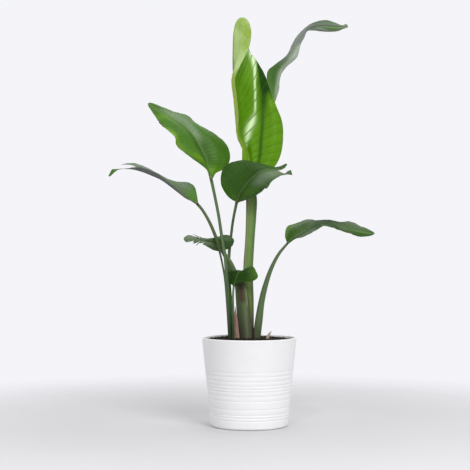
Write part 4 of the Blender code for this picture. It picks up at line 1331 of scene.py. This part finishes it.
def leaf_under(settings, tone, colours):
    """Underside of a blade: paler and matt, with raised veins, patches of a thin film of wax, and painted
    light, shade and sheen.
    """
    made, w, skin = new_finish(f"leaf_{tone}_under")
    phase, _, edge = w.mark("leaf_veins")
    along = w.mark("leaf_way")[0]
    light_shade_sheen_masks = w.mark("leaf_tone")
    place = w.place()
    veins = w.group("Leaf Veins", Phase=phase, Width=colours.vein_width * 1.3,
                    Fine_Lines=colours.lines)
    bloom = w.mottle(place, 22.0)
    fresh = w.blend(0.5, colours.under, colours.glow)
    green = w.blend(w.times(bloom, 0.3), colours.under, colours.bloom)
    green = w.blend(w.times(veins["Fine"], colours.fine), green, fresh)
    green = w.blend(w.times(veins["Main"], colours.fine * 1.5), green, fresh)
    # painted light, painted shade and painted sheen from the tints and bands
    green = with_light_shade_sheen(w, green, light_shade_sheen_masks, colours)
    green = w.blend(w.spread(along, 0.0, 0.25, 0.3, 0.0), green, colours.fresh)
    margin = w.group("Dry Margin", Edge=edge, Reach=colours.dry_reach, Vector=place)
    green = edged(w, green, margin, settings, colours)
    w.plug(skin["Base Color"], green)
    w.plug(skin["Roughness"], w.spread(bloom, 0.0, 1.0, 0.42, 0.58))
    skin["Specular IOR Level"].default_value = 0.15
    sunken = w.times(veins["Height"], -1.0)
    w.plug(skin["Normal"], veined(w, place, sunken, 0.35))
    return made


def leaf_rib(settings, tone, colours):
    """Midrib: pale and fibrous, greener where it joins the stalk."""
    made, w, skin = new_finish(f"leaf_{tone}_midrib")
    turn = w.mark("leaf_veins")[0]
    along = w.mark("leaf_way")[0]
    place = w.place()
    fibres = w.group("Long Fibres", Turn=turn, Run=along, Count=14.0, Stretch=4.0)
    mottle = w.mottle(place, 60.0)
    pale = w.blend(w.times(fibres["Streaks"], 0.4), colours.rib, settings.rib_colour)
    pale = w.blend(w.times(mottle, 0.3), pale, colours.main)
    pale = w.blend(w.spread(along, 0.0, 0.10, 0.75, 0.0), pale, colours.main)
    w.plug(skin["Base Color"], pale)
    w.plug(skin["Roughness"], w.spread(fibres["Streaks"], 0.2, 0.8, 0.34, 0.5))
    w.plug(skin["Normal"], w.bump(fibres["Ridges"], 0.0004, 0.5))
    return made


def stalk_skin(settings, name, colours):
    """Skin of a stalk: fibrous green, with tints along the edges and a painted shade towards its foot."""
    made, w, skin = new_finish(f"stalk_{name}_skin")
    turn, run, share = w.mark("stalk_way")
    place = w.place()
    fibres = w.group("Long Fibres", Turn=turn, Run=run, Count=9.0, Stretch=7.0)
    mottle = w.mottle(place, 45.0)
    green = w.blend(w.spread(turn, -0.5, 0.5), colours.right, colours.left)
    centre = w.spread(w.calculate('ABSOLUTE', turn), 0.0, 0.28, 1.0, 0.0)
    green = w.blend(centre, green, colours.middle)
    green = w.blend(w.times(fibres["Streaks"], 0.5), green, colours.streak)
    green = w.blend(w.times(mottle, 0.2), green, colours.right)
    # an edge line runs up each side of the groove
    from_middle = w.calculate('ABSOLUTE', turn)
    lip = w.calculate('ABSOLUTE', w.minus(from_middle, 0.34))
    lined = w.times(w.spread(lip, 0.0, 0.05, 1.0, 0.0), colours.line_share)
    green = w.blend(lined, green, colours.line)
    # painted shade: darker towards the foot, where the crowded stalks and leaves shade it
    reach = colours.base_reach
    ragged = w.plus(run, w.times(fibres["Streaks"], reach))
    low = w.spread(ragged, reach * 0.5, reach * 1.5, 1.0, 0.0)
    green = w.blend(w.times(low, colours.base_share), green, colours.base)
    patches = w.mark("stalk_tone")
    rough_edge = w.spread(fibres["Streaks"], 0.25, 0.6, 0.6, 1.0)
    tints = (settings.brown_colour, settings.pale_colour, settings.red_colour)
    for patch, colour in zip(patches, tints):
        green = w.blend(w.times(patch, rough_edge), green, colour)
    knot = w.spread(share, 0.972, 0.995)
    green = w.blend(w.times(knot, colours.knot), green, settings.knot_colour)
    specks = w.spread(w.noise(place, 260.0, 1.0), 0.70, 0.76)
    green = w.blend(w.times(specks, 0.35), green, settings.knot_colour)
    w.plug(skin["Base Color"], green)
    w.plug(skin["Roughness"], w.spread(fibres["Streaks"], 0.2, 0.8, 0.30, 0.48))
    skin["Specular IOR Level"].default_value = 0.2
    w.plug(skin["Normal"], w.bump(fibres["Ridges"], 0.0005, 0.55))
    return made


def glaze_finish(settings):
    """White satin glaze, with faint unevenness and a little soil dust inside the rim."""
    made, w, skin = new_finish("white_satin_glaze")
    place = w.place()
    x, y, high = w.split(place)
    cloud = w.mottle(place, 16.0)
    white = w.blend(w.times(cloud, 0.5), settings.colour, settings.shade_colour)
    square = w.plus(w.calculate('POWER', x, 2.0), w.calculate('POWER', y, 2.0))
    from_axis = w.calculate('SQRT', square)
    risen = w.calculate('DIVIDE', high, settings.height)
    wall = w.times(risen, settings.rim_radius - settings.foot_radius)
    outside = w.plus(wall, settings.foot_radius - settings.wall / 2)
    inside = w.spread(w.minus(outside, from_axis), 0.0, 0.001)
    smear = w.spread(w.minus(settings.height, high), 0.002, 0.009)
    patches = w.spread(w.noise(place, 130.0, 3.0), 0.42, 0.66)
    soiled = w.times(w.times(inside, smear), patches)
    white = w.blend(w.times(soiled, 0.6), white, settings.soiled_colour)
    speck = w.spread(w.noise(place, 420.0, 0.0), 0.80, 0.83)
    white = w.blend(w.times(speck, 0.25), white, settings.soiled_colour)
    w.plug(skin["Base Color"], white)
    w.plug(skin["Roughness"], w.spread(cloud, 0.0, 1.0, settings.roughness, settings.roughness + 0.08))
    skin["Coat Weight"].default_value = 0.25
    skin["Coat Roughness"].default_value = 0.18
    orange_peel = w.noise(place, 190.0, 2.0)
    w.plug(skin["Normal"], w.bump(orange_peel, 0.00018, 0.35))
    return made


def soil_finish(settings):
    """Dark damp potting soil."""
    made, w, skin = new_finish("dark_potting_soil")
    place = w.place()
    broad = w.mottle(place, 60.0)
    small = w.mottle(place, 500.0)
    earth = w.blend(broad, settings.colour, settings.damp_colour)
    earth = w.blend(w.times(small, 0.5), earth, settings.crumb_colour)
    w.plug(skin["Base Color"], earth)
    w.plug(skin["Roughness"], w.spread(broad, 0.0, 1.0, 0.95, 0.7))
    skin["Specular IOR Level"].default_value = 0.25
    w.plug(skin["Normal"], w.bump(w.noise(place, 700.0, 4.0), 0.0008, 0.8))
    return made


def bark_finish(settings):
    """Chips of bark in the soil."""
    made, w, skin = new_finish("bark_chips")
    place = w.place()
    grain = w.mottle(place, 320.0)
    w.plug(skin["Base Color"], w.blend(grain, settings.bark_colour, settings.crumb_colour))
    skin["Roughness"].default_value = 0.85
    w.plug(skin["Normal"], w.bump(grain, 0.0005, 0.6))
    return made


def dry_finish(name, pale, dark):
    """Dry papery leaf: streaked, matt and slightly pink or tan."""
    made, w, skin = new_finish(name)
    turn, run, share = w.mark("stalk_way")
    place = w.place()
    fibres = w.group("Long Fibres", Turn=turn, Run=run, Count=16.0, Stretch=14.0)
    mottle = w.mottle(place, 80.0)
    paper = w.blend(w.spread(fibres["Streaks"], 0.38, 0.68), pale, dark)
    paper = w.blend(w.times(mottle, 0.35), paper, dark)
    paper = w.blend(w.spread(share, 0.0, 0.12, 0.7, 0.0), paper, dark)
    w.plug(skin["Base Color"], paper)
    w.plug(skin["Roughness"], w.spread(fibres["Streaks"], 0.2, 0.8, 0.75, 0.55))
    w.plug(skin["Normal"], w.bump(fibres["Ridges"], 0.0006, 0.7))
    return made


# ---------------------------------------------------------------------------------------------
# Colours of each kind of leaf and stalk

# Colours of a blade, width and strength of its side veins, strength and number of the fine lines
# between them, strength of lengthwise threads, reach of the dried margin, and roughness and
# specular level of the upper side. Three of the colours are painted light for the tints and bands:
# a painted light shining through the blade, a painted shade, and a painted sheen with highlights
# that is partly a real film of wax.
LeafColours = namedtuple(
    "LeafColours",
    "main shade fresh glow depth bloom vein margin under rib vein_width vein_share fine lines "
    "long_lines dry_reach gloss shine")

LEAF_COLOURS = {
    # the young sheen colour is a near-white painted highlight
    "young": LeafColours(
        main=(0.115, 0.290, 0.006), shade=(0.098, 0.255, 0.005), fresh=(0.135, 0.325, 0.007),
        glow=(0.430, 0.600, 0.040), depth=(0.010, 0.050, 0.001), bloom=(0.780, 0.980, 0.580),
        vein=(0.040, 0.140, 0.002), margin=(0.300, 0.330, 0.130), under=(0.245, 0.385, 0.035),
        rib=(0.220, 0.360, 0.050), vein_width=0.15, vein_share=0.9, fine=0.2, lines=4.0,
        long_lines=0.0, dry_reach=0.0, gloss=0.40, shine=0.12),
    "mature": LeafColours(
        main=(0.060, 0.175, 0.014), shade=(0.050, 0.140, 0.010), fresh=(0.075, 0.205, 0.016),
        glow=(0.170, 0.330, 0.006), depth=(0.025, 0.080, 0.008), bloom=(0.190, 0.280, 0.160),
        vein=(0.040, 0.120, 0.008), margin=(0.110, 0.150, 0.030), under=(0.120, 0.200, 0.060),
        rib=(0.150, 0.230, 0.080), vein_width=0.12, vein_share=0.25, fine=0.15, lines=2.0,
        long_lines=0.0, dry_reach=0.005, gloss=0.36, shine=0.2),
    "deep": LeafColours(
        main=(0.034, 0.100, 0.010), shade=(0.024, 0.074, 0.008), fresh=(0.046, 0.125, 0.014),
        glow=(0.075, 0.200, 0.010), depth=(0.014, 0.042, 0.005), bloom=(0.190, 0.240, 0.170),
        vein=(0.070, 0.125, 0.035), margin=(0.055, 0.080, 0.025), under=(0.070, 0.110, 0.050),
        rib=(0.120, 0.185, 0.070), vein_width=0.14, vein_share=0.5, fine=0.15, lines=2.0,
        long_lines=0.6, dry_reach=0.004, gloss=0.38, shine=0.2),
    "weathered": LeafColours(
        main=(0.085, 0.200, 0.040), shade=(0.070, 0.170, 0.032), fresh=(0.110, 0.230, 0.055),
        glow=(0.400, 0.470, 0.370), depth=(0.040, 0.120, 0.016), bloom=(0.290, 0.300, 0.310),
        vein=(0.150, 0.215, 0.100), margin=(0.150, 0.120, 0.070), under=(0.165, 0.215, 0.140),
        rib=(0.300, 0.370, 0.260), vein_width=0.14, vein_share=0.2, fine=0.1, lines=2.0,
        long_lines=0.45, dry_reach=0.005, gloss=0.40, shine=0.2),
}
LEAF_COLOURS["arched"] = LEAF_COLOURS["mature"]._replace(
    main=(0.032, 0.096, 0.006), shade=(0.026, 0.078, 0.005), fresh=(0.042, 0.118, 0.007),
    glow=(0.095, 0.230, 0.004), depth=(0.007, 0.028, 0.002), bloom=(0.090, 0.130, 0.072),
    under=(0.075, 0.120, 0.045), margin=(0.060, 0.085, 0.030), vein_share=0.15, fine=0.08)
LEAF_COLOURS["dull"] = LEAF_COLOURS["weathered"]._replace(
    main=(0.050, 0.135, 0.018), shade=(0.040, 0.110, 0.014), fresh=(0.065, 0.160, 0.022),
    glow=(0.075, 0.215, 0.012), bloom=(0.190, 0.215, 0.195), under=(0.105, 0.125, 0.105),
    rib=(0.110, 0.130, 0.100), vein_share=0.1, fine=0.06, long_lines=0.35)
LEAF_COLOURS["shaded"] = LEAF_COLOURS["deep"]._replace(
    main=(0.016, 0.060, 0.003), shade=(0.012, 0.045, 0.002), fresh=(0.022, 0.075, 0.004),
    rib=(0.045, 0.090, 0.020), shine=0.12)

# Colours of a stalk, strength of its edge lines, reach and strength of the painted shade at its foot
# (its base colour), and strength of the dark knot under the blade.
StalkColours = namedtuple(
    "StalkColours",
    "left middle right streak line base line_share base_reach base_share knot")

STALK_COLOURS = {
    "stout": StalkColours(
        left=(0.185, 0.200, 0.085), middle=(0.155, 0.275, 0.055), right=(0.045, 0.125, 0.045),
        streak=(0.210, 0.310, 0.090), line=(0.110, 0.090, 0.050), base=(0.055, 0.078, 0.036),
        line_share=0.5, base_reach=0.14, base_share=0.75, knot=0.0),
    "sheath": StalkColours(
        left=(0.085, 0.125, 0.045), middle=(0.105, 0.155, 0.055), right=(0.085, 0.135, 0.045),
        streak=(0.130, 0.180, 0.080), line=(0.075, 0.060, 0.035), base=(0.072, 0.066, 0.050),
        line_share=0.4, base_reach=0.17, base_share=0.85, knot=0.9),
    "slim": StalkColours(
        left=(0.060, 0.105, 0.036), middle=(0.100, 0.185, 0.062), right=(0.052, 0.098, 0.040),
        streak=(0.125, 0.200, 0.088), line=(0.140, 0.205, 0.110), base=(0.016, 0.045, 0.015),
        line_share=0.4, base_reach=0.19, base_share=0.85, knot=0.5),
    "brown_edged": StalkColours(
        left=(0.110, 0.090, 0.050), middle=(0.110, 0.170, 0.070), right=(0.090, 0.160, 0.060),
        streak=(0.150, 0.210, 0.110), line=(0.100, 0.070, 0.040), base=(0.056, 0.052, 0.030),
        line_share=0.4, base_reach=0.09, base_share=0.85, knot=0.9),
}
STALK_FINISH = {"tall": "stout", "drooping": "sheath", "right": "brown_edged"}


# ---------------------------------------------------------------------------------------------
# Settings

def metres(name, description, default):
    """A length that a user can change."""
    return bpy.props.FloatProperty(name=name, description=description, default=default,
                                   unit='LENGTH', precision=4)


def whole_number(name, description, default, low, high):
    """A whole number that a user can change."""
    return bpy.props.IntProperty(name=name, description=description, default=default,
                                 min=low, max=high)


def factor(name, description, default):
    """A share between 0 and 1 that a user can change."""
    return bpy.props.FloatProperty(name=name, description=description, default=default,
                                   subtype='FACTOR', min=0.0, max=1.0)


def watts(name, description, default):
    """The power of a light that a user can change."""
    return bpy.props.FloatProperty(name=name, description=description, default=default,
                                   unit='POWER', min=0.0)


def tint(name, description, default):
    """A colour that a user can change."""
    return bpy.props.FloatVectorProperty(name=name, description=description, default=default,
                                         subtype='COLOR', size=3, min=0.0, max=1.0)


class PotSettings(bpy.types.PropertyGroup):
    """Sizes and finish of the pot."""
    height: metres("Height", "Height of the pot", 0.260)
    rim_radius: metres("Rim Radius", "Outer radius at the rim", 0.140)
    foot_radius: metres("Foot Radius", "Outer radius of the wall at the foot", 0.1135)
    wall: metres("Wall", "Thickness of the wall", 0.006)
    floor: metres("Floor", "Thickness of the floor", 0.007)
    foot_round: metres("Foot Round", "Radius of the rounded foot", 0.007)
    groove_depth: metres("Groove Depth", "Depth of the grooves between the ribs", 0.0011)
    upper_grooves: bpy.props.FloatVectorProperty(
        name="Upper Grooves", description="Heights of the grooves of the upper band", size=8,
        unit='LENGTH', default=(0.166, 0.1535, 0.139, 0.1275, 0.118, 0.110, 0.097, 0.082))
    lower_grooves: bpy.props.FloatVectorProperty(
        name="Lower Grooves", description="Heights of the grooves of the lower band", size=4,
        unit='LENGTH', default=(0.060, 0.042, 0.0345, 0.0255))
    sides: whole_number("Sides", "Faces round the pot", 192, 24, 256)
    colour: tint("Glaze", "Colour of the glaze", (0.93, 0.93, 0.94))
    shade_colour: tint("Glaze Shade", "Colour of the thinner glaze", (0.90, 0.90, 0.92))
    soiled_colour: tint("Soiled", "Colour of soil dust on the glaze", (0.25, 0.19, 0.14))
    roughness: factor("Roughness", "Roughness of the glaze", 0.38)


class SoilSettings(bpy.types.PropertyGroup):
    """Sizes and colours of the soil."""
    radius: metres("Radius", "Radius of the surface", 0.1327)
    floor_radius: metres("Floor Radius", "Radius of the plug at the bottom", 0.1078)
    edge_height: metres("Edge Height", "Height of the surface at the wall", 0.2488)
    crown_height: metres("Crown Height", "Height of the surface at the stalks", 0.2560)
    floor_height: metres("Floor Height", "Height of the bottom of the plug", 0.0073)
    clod_height: metres("Clod Height", "Height of the lumps", 0.0012)
    crumbs: whole_number("Crumbs", "Loose crumbs on top", 1300, 0, 2500)
    chips: whole_number("Chips", "Chips of bark on top", 90, 0, 300)
    colour: tint("Soil", "Colour of the soil", (0.016, 0.010, 0.007))
    damp_colour: tint("Damp Soil", "Colour of damp patches", (0.007, 0.005, 0.004))
    crumb_colour: tint("Crumbs", "Colour of drier crumbs", (0.032, 0.020, 0.013))
    bark_colour: tint("Bark", "Colour of the chips of bark", (0.085, 0.045, 0.025))


class LeafSettings(bpy.types.PropertyGroup):
    """Sheet, mesh and shared colours of the leaf blades."""
    thickness: bpy.props.FloatProperty(name="Thickness", description="Thickness in millimetres",
                                       default=0.7, min=0.3, max=1.6)
    tall_rows: whole_number("Tall Rows", "Rows along the tall blade", 300, 60, 400)
    rows: whole_number("Rows", "Rows along the other blades", 200, 40, 300)
    columns: whole_number("Columns", "Columns across a half blade", 44, 12, 80)
    rib_colour: tint("Midrib", "Colour of the midribs", (0.190, 0.290, 0.110))
    dry_colour: tint("Dry Edge", "Colour of dried margins", (0.120, 0.065, 0.025))
    # the film on upward faces of the leaves is settled dust and painted sheen
    dust_and_sheen_colour: tint("Dust", "Colour of settled dust", (0.280, 0.300, 0.260))
    dust: factor("Dust Amount", "Strength of the settled dust", 0.06)


class StalkSettings(bpy.types.PropertyGroup):
    """Mesh and shared colours of the stalks."""
    rows: whole_number("Rows", "Rows along a stalk", 160, 30, 400)
    sides: whole_number("Sides", "Faces round a stalk", 40, 12, 72)
    knot_colour: tint("Knot", "Colour of the dark knot under a blade", (0.035, 0.028, 0.012))
    brown_colour: tint("Brown Edge", "Colour of dried edges", (0.085, 0.062, 0.032))
    pale_colour: tint("Pale Streak", "Colour of pale streaks", (0.250, 0.330, 0.180))
    red_colour: tint("Red Tint", "Colour of reddish old sheaths", (0.085, 0.042, 0.034))


class DrySettings(bpy.types.PropertyGroup):
    """Colours of the dry pieces."""
    sheath_colour: tint("Sheath", "Colour of the papery sheath", (0.480, 0.300, 0.250))
    sheath_shade: tint("Sheath Shade", "Darker colour of the sheath", (0.210, 0.110, 0.085))
    husk_colour: tint("Husk", "Colour of the husk stub", (0.620, 0.540, 0.430))
    husk_shade: tint("Husk Shade", "Darker colour of the husk", (0.300, 0.230, 0.150))


class StageSettings(bpy.types.PropertyGroup):
    """Camera, lights and floor."""
    camera_place: bpy.props.FloatVectorProperty(
        name="Camera", description="Place of the camera", subtype='TRANSLATION', size=3,
        default=(-0.042, -3.696, 0.5234))
    camera_tilt: bpy.props.FloatProperty(
        name="Tilt", description="Tilt of the camera from straight down", subtype='ANGLE',
        default=math.radians(90.596))
    camera_lens: bpy.props.FloatProperty(name="Lens", description="Focal length", unit='CAMERA',
                                         default=95.74, min=20.0, max=200.0)
    floor_radius: metres("Floor Radius", "Radius of the floor", 1.7)
    floor_colour: tint("Floor", "Colour of the floor", (0.62, 0.61, 0.63))
    backdrop_colour: tint("Backdrop", "Colour behind the plant", (0.905, 0.905, 0.945))
    key_power: watts("Key", "Power of the key light", 92.0)
    strip_power: watts("Strip", "Power of the small light near the camera", 26.0)
    side_power: watts("Side", "Power of the soft light at the left", 13.0)
    top_power: watts("Top", "Power of the top light", 30.0)


# ---------------------------------------------------------------------------------------------
# Operators

class PLANT_OT_pot(bpy.types.Operator):
    """Build the ribbed pot"""
    bl_idname = "plant.pot"
    bl_label = "Pot"

    def execute(self, context):
        """Turn the shell and glaze it."""
        settings = context.scene.plant_pot
        seat(build_pot(settings, glaze_finish(settings)), "pot")
        return {'FINISHED'}


class PLANT_OT_soil(bpy.types.Operator):
    """Build the potting soil"""
    bl_idname = "plant.soil"
    bl_label = "Soil"

    def execute(self, context):
        """Heap the soil and scatter its crumbs."""
        settings = context.scene.plant_soil
        finishes = [soil_finish(settings), bark_finish(settings)]
        seat(build_soil(settings, finishes), "soil")
        return {'FINISHED'}


class PLANT_OT_blades(bpy.types.Operator):
    """Build the leaf blades"""
    bl_idname = "plant.blades"
    bl_label = "Leaf Blades"

    def execute(self, context):
        """Make each blade from its two halves and its midrib."""
        settings = context.scene.plant_leaf
        finishes = {tone: [skin(settings, tone, colours) for skin in (leaf_upper, leaf_under, leaf_rib)]
                    for tone, colours in LEAF_COLOURS.items()}
        for number, (name, leaf) in enumerate(LEAVES.items()):
            rows = settings.tall_rows if name == "tall" else settings.rows
            form = Form()
            for side in ("left", "right"):
                seed = 20 * number + (10 if side == "left" else 0)
                add_half(form, name, side, rows, settings.columns, seed, settings.thickness)
            add_rib(form, name)
            for shred in SHREDS.get(name, ()):
                add_shred(form, *shred, settings.thickness)
            made = form.finish(f"{name}_leaf", finishes[leaf.finish])
            seat(made, f"{name}_leaf_blade")
        return {'FINISHED'}


class PLANT_OT_stalks(bpy.types.Operator):
    """Build the leaf stalks"""
    bl_idname = "plant.stalks"
    bl_label = "Leaf Stalks"

    def execute(self, context):
        """Make each stalk through its rings."""
        settings = context.scene.plant_stalk
        skins = {kind: stalk_skin(settings, kind, colours) for kind, colours in STALK_COLOURS.items()}
        for name in STALKS:
            form = Form()
            add_stalk(form, name, settings.rows, settings.sides)
            made = form.finish(f"{name}_stalk", [skins[STALK_FINISH.get(name, "slim")]])
            seat(made, f"{name}_leaf_stalk")
        return {'FINISHED'}


class PLANT_OT_dry_pieces(bpy.types.Operator):
    """Build the dry sheath and the dry stub"""
    bl_idname = "plant.dry_pieces"
    bl_label = "Dry Pieces"

    def execute(self, context):
        """Make both spent leaf bases."""
        settings = context.scene.plant_dry
        papery = dry_finish("dry_papery_sheath", settings.sheath_colour, settings.sheath_shade)
        husk = dry_finish("dry_husk", settings.husk_colour, settings.husk_shade)
        seat(build_dry_sheath(papery), "dry_sheath")
        seat(build_dry_stub(husk), "dry_stub")
        return {'FINISHED'}


# Place, aim and size of each soft light, in metres
PLANT_MIDDLE = (0, 0, 0.62)
LIGHTS = {
    "key": ((1.5, -3.0, 2.4), PLANT_MIDDLE, 1.8),
    "strip": ((-0.7, -3.0, 2.5), (0, 0, 0.9), 0.45),
    "side": ((-2.8, -1.6, 1.6), PLANT_MIDDLE, 2.0),
    "top": ((0.2, 0.4, 3.2), PLANT_MIDDLE, 2.4),
}

# The floor lies a little lower than the foot of the pot
FLOOR_SIDES, FLOOR_DROP = 96, 0.0002


def add_light(name, place, aim, size, power):
    """Add a square soft light that looks at a point."""
    light = bpy.data.lights.new(name, 'AREA')
    light.shape = 'SQUARE'
    light.size = size
    light.energy = power
    made = bpy.data.objects.new(name, light)
    made.location = place
    made.rotation_euler = (Vector(aim) - Vector(place)).to_track_quat('-Z', 'Y').to_euler()
    bpy.context.scene.collection.objects.link(made)


def backdrop_world(settings):
    """A pale backdrop, with light that is stronger behind the plant than in front of it."""
    world = bpy.data.worlds.new("studio")
    world.use_nodes = True
    w = Wiring(world.node_tree)
    world.node_tree.nodes.clear()
    seen = w.fill(w.add("ShaderNodeBackground"), settings.backdrop_colour)
    back = w.split(w.add("ShaderNodeTexCoord").outputs["Generated"])[1]
    lit = w.fill(w.add("ShaderNodeBackground"), (1.0, 1.0, 1.0), w.spread(back, -0.5, 0.6, 0.18, 0.80))
    direct = w.add("ShaderNodeLightPath").outputs["Is Camera Ray"]
    mix = w.fill(w.add("ShaderNodeMixShader"), direct, lit[0], seen[0])
    w.fill(w.add("ShaderNodeOutputWorld"), mix[0])
    return world


def floor_finish(settings):
    """Plain pale floor that fades into the backdrop."""
    made, w, skin = new_finish("pale_floor")
    place = w.place()
    cloud = w.noise(place, 3.0, 3.0)
    pale = w.blend(w.times(cloud, 0.1), settings.floor_colour, settings.backdrop_colour)
    w.plug(skin["Base Color"], pale)
    skin["Roughness"].default_value = 0.7
    skin["Specular IOR Level"].default_value = 0.2
    far = w.fill(w.add("ShaderNodeVectorMath", operation='LENGTH'), place)["Value"]
    w.plug(skin["Alpha"], w.spread(far, 0.45, settings.floor_radius * 0.95, 1.0, 0.0))
    return made


class PLANT_OT_stage(bpy.types.Operator):
    """Build the floor, lights, backdrop and camera"""
    bl_idname = "plant.stage"
    bl_label = "Stage"

    def execute(self, context):
        """Set up a plain pale studio."""
        scene = context.scene
        settings = scene.plant_stage
        form = Form()
        angle = round_angles(FLOOR_SIDES)
        rim = painted(np.cos(angle), np.sin(angle), 0) * settings.floor_radius
        form.add_cap(form.add_points(rim - (0, 0, FLOOR_DROP)), FLOOR_SIDES, 0)
        form.finish("pale_floor", [floor_finish(settings)])
        for name, (place, aim, size) in LIGHTS.items():
            add_light(name, place, aim, size, getattr(settings, f"{name}_power"))
        scene.world = backdrop_world(settings)
        camera = bpy.data.cameras.new("camera")
        camera.lens = settings.camera_lens
        made = bpy.data.objects.new("camera", camera)
        made.location = settings.camera_place
        made.rotation_euler = (settings.camera_tilt, 0, 0)
        scene.collection.objects.link(made)
        scene.camera = made
        scene.view_settings.view_transform = 'Standard'
        return {'FINISHED'}


OPERATORS = (PLANT_OT_pot, PLANT_OT_soil, PLANT_OT_stalks, PLANT_OT_blades, PLANT_OT_dry_pieces,
             PLANT_OT_stage)
SETTINGS = {"plant_pot": PotSettings, "plant_soil": SoilSettings, "plant_leaf": LeafSettings,
            "plant_stalk": StalkSettings, "plant_dry": DrySettings, "plant_stage": StageSettings}


class PLANT_PT_parts(bpy.types.Panel):
    """Lists what can be built"""
    bl_idname = "PLANT_PT_parts"
    bl_label = "Potted Plant"
    bl_space_type = 'VIEW_3D'
    bl_region_type = 'UI'
    bl_category = "Plant"

    def draw(self, context):
        """One button for each piece or group of pieces, and their settings."""
        for operator in OPERATORS:
            self.layout.operator(operator.bl_idname)
        for pointer in SETTINGS:
            box = self.layout.box()
            box.label(text=pointer)
            settings = getattr(context.scene, pointer)
            for name in settings.__annotations__:
                box.prop(settings, name)


def register():
    """Add the settings, operators and panel."""
    for group in SETTINGS.values():
        bpy.utils.register_class(group)
    for pointer, group in SETTINGS.items():
        setattr(bpy.types.Scene, pointer, bpy.props.PointerProperty(type=group))
    for operator in (*OPERATORS, PLANT_PT_parts):
        bpy.utils.register_class(operator)


def unregister():
    """Remove the settings, operators and panel."""
    for operator in reversed((*OPERATORS, PLANT_PT_parts)):
        bpy.utils.unregister_class(operator)
    for pointer, group in SETTINGS.items():
        delattr(bpy.types.Scene, pointer)
        bpy.utils.unregister_class(group)


def main():
    """Build everything in order."""
    register()
    for operator in OPERATORS:
        kind, name = operator.bl_idname.split(".")
        getattr(getattr(bpy.ops, kind), name)()
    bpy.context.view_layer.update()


if __name__ == "__main__":
    main()
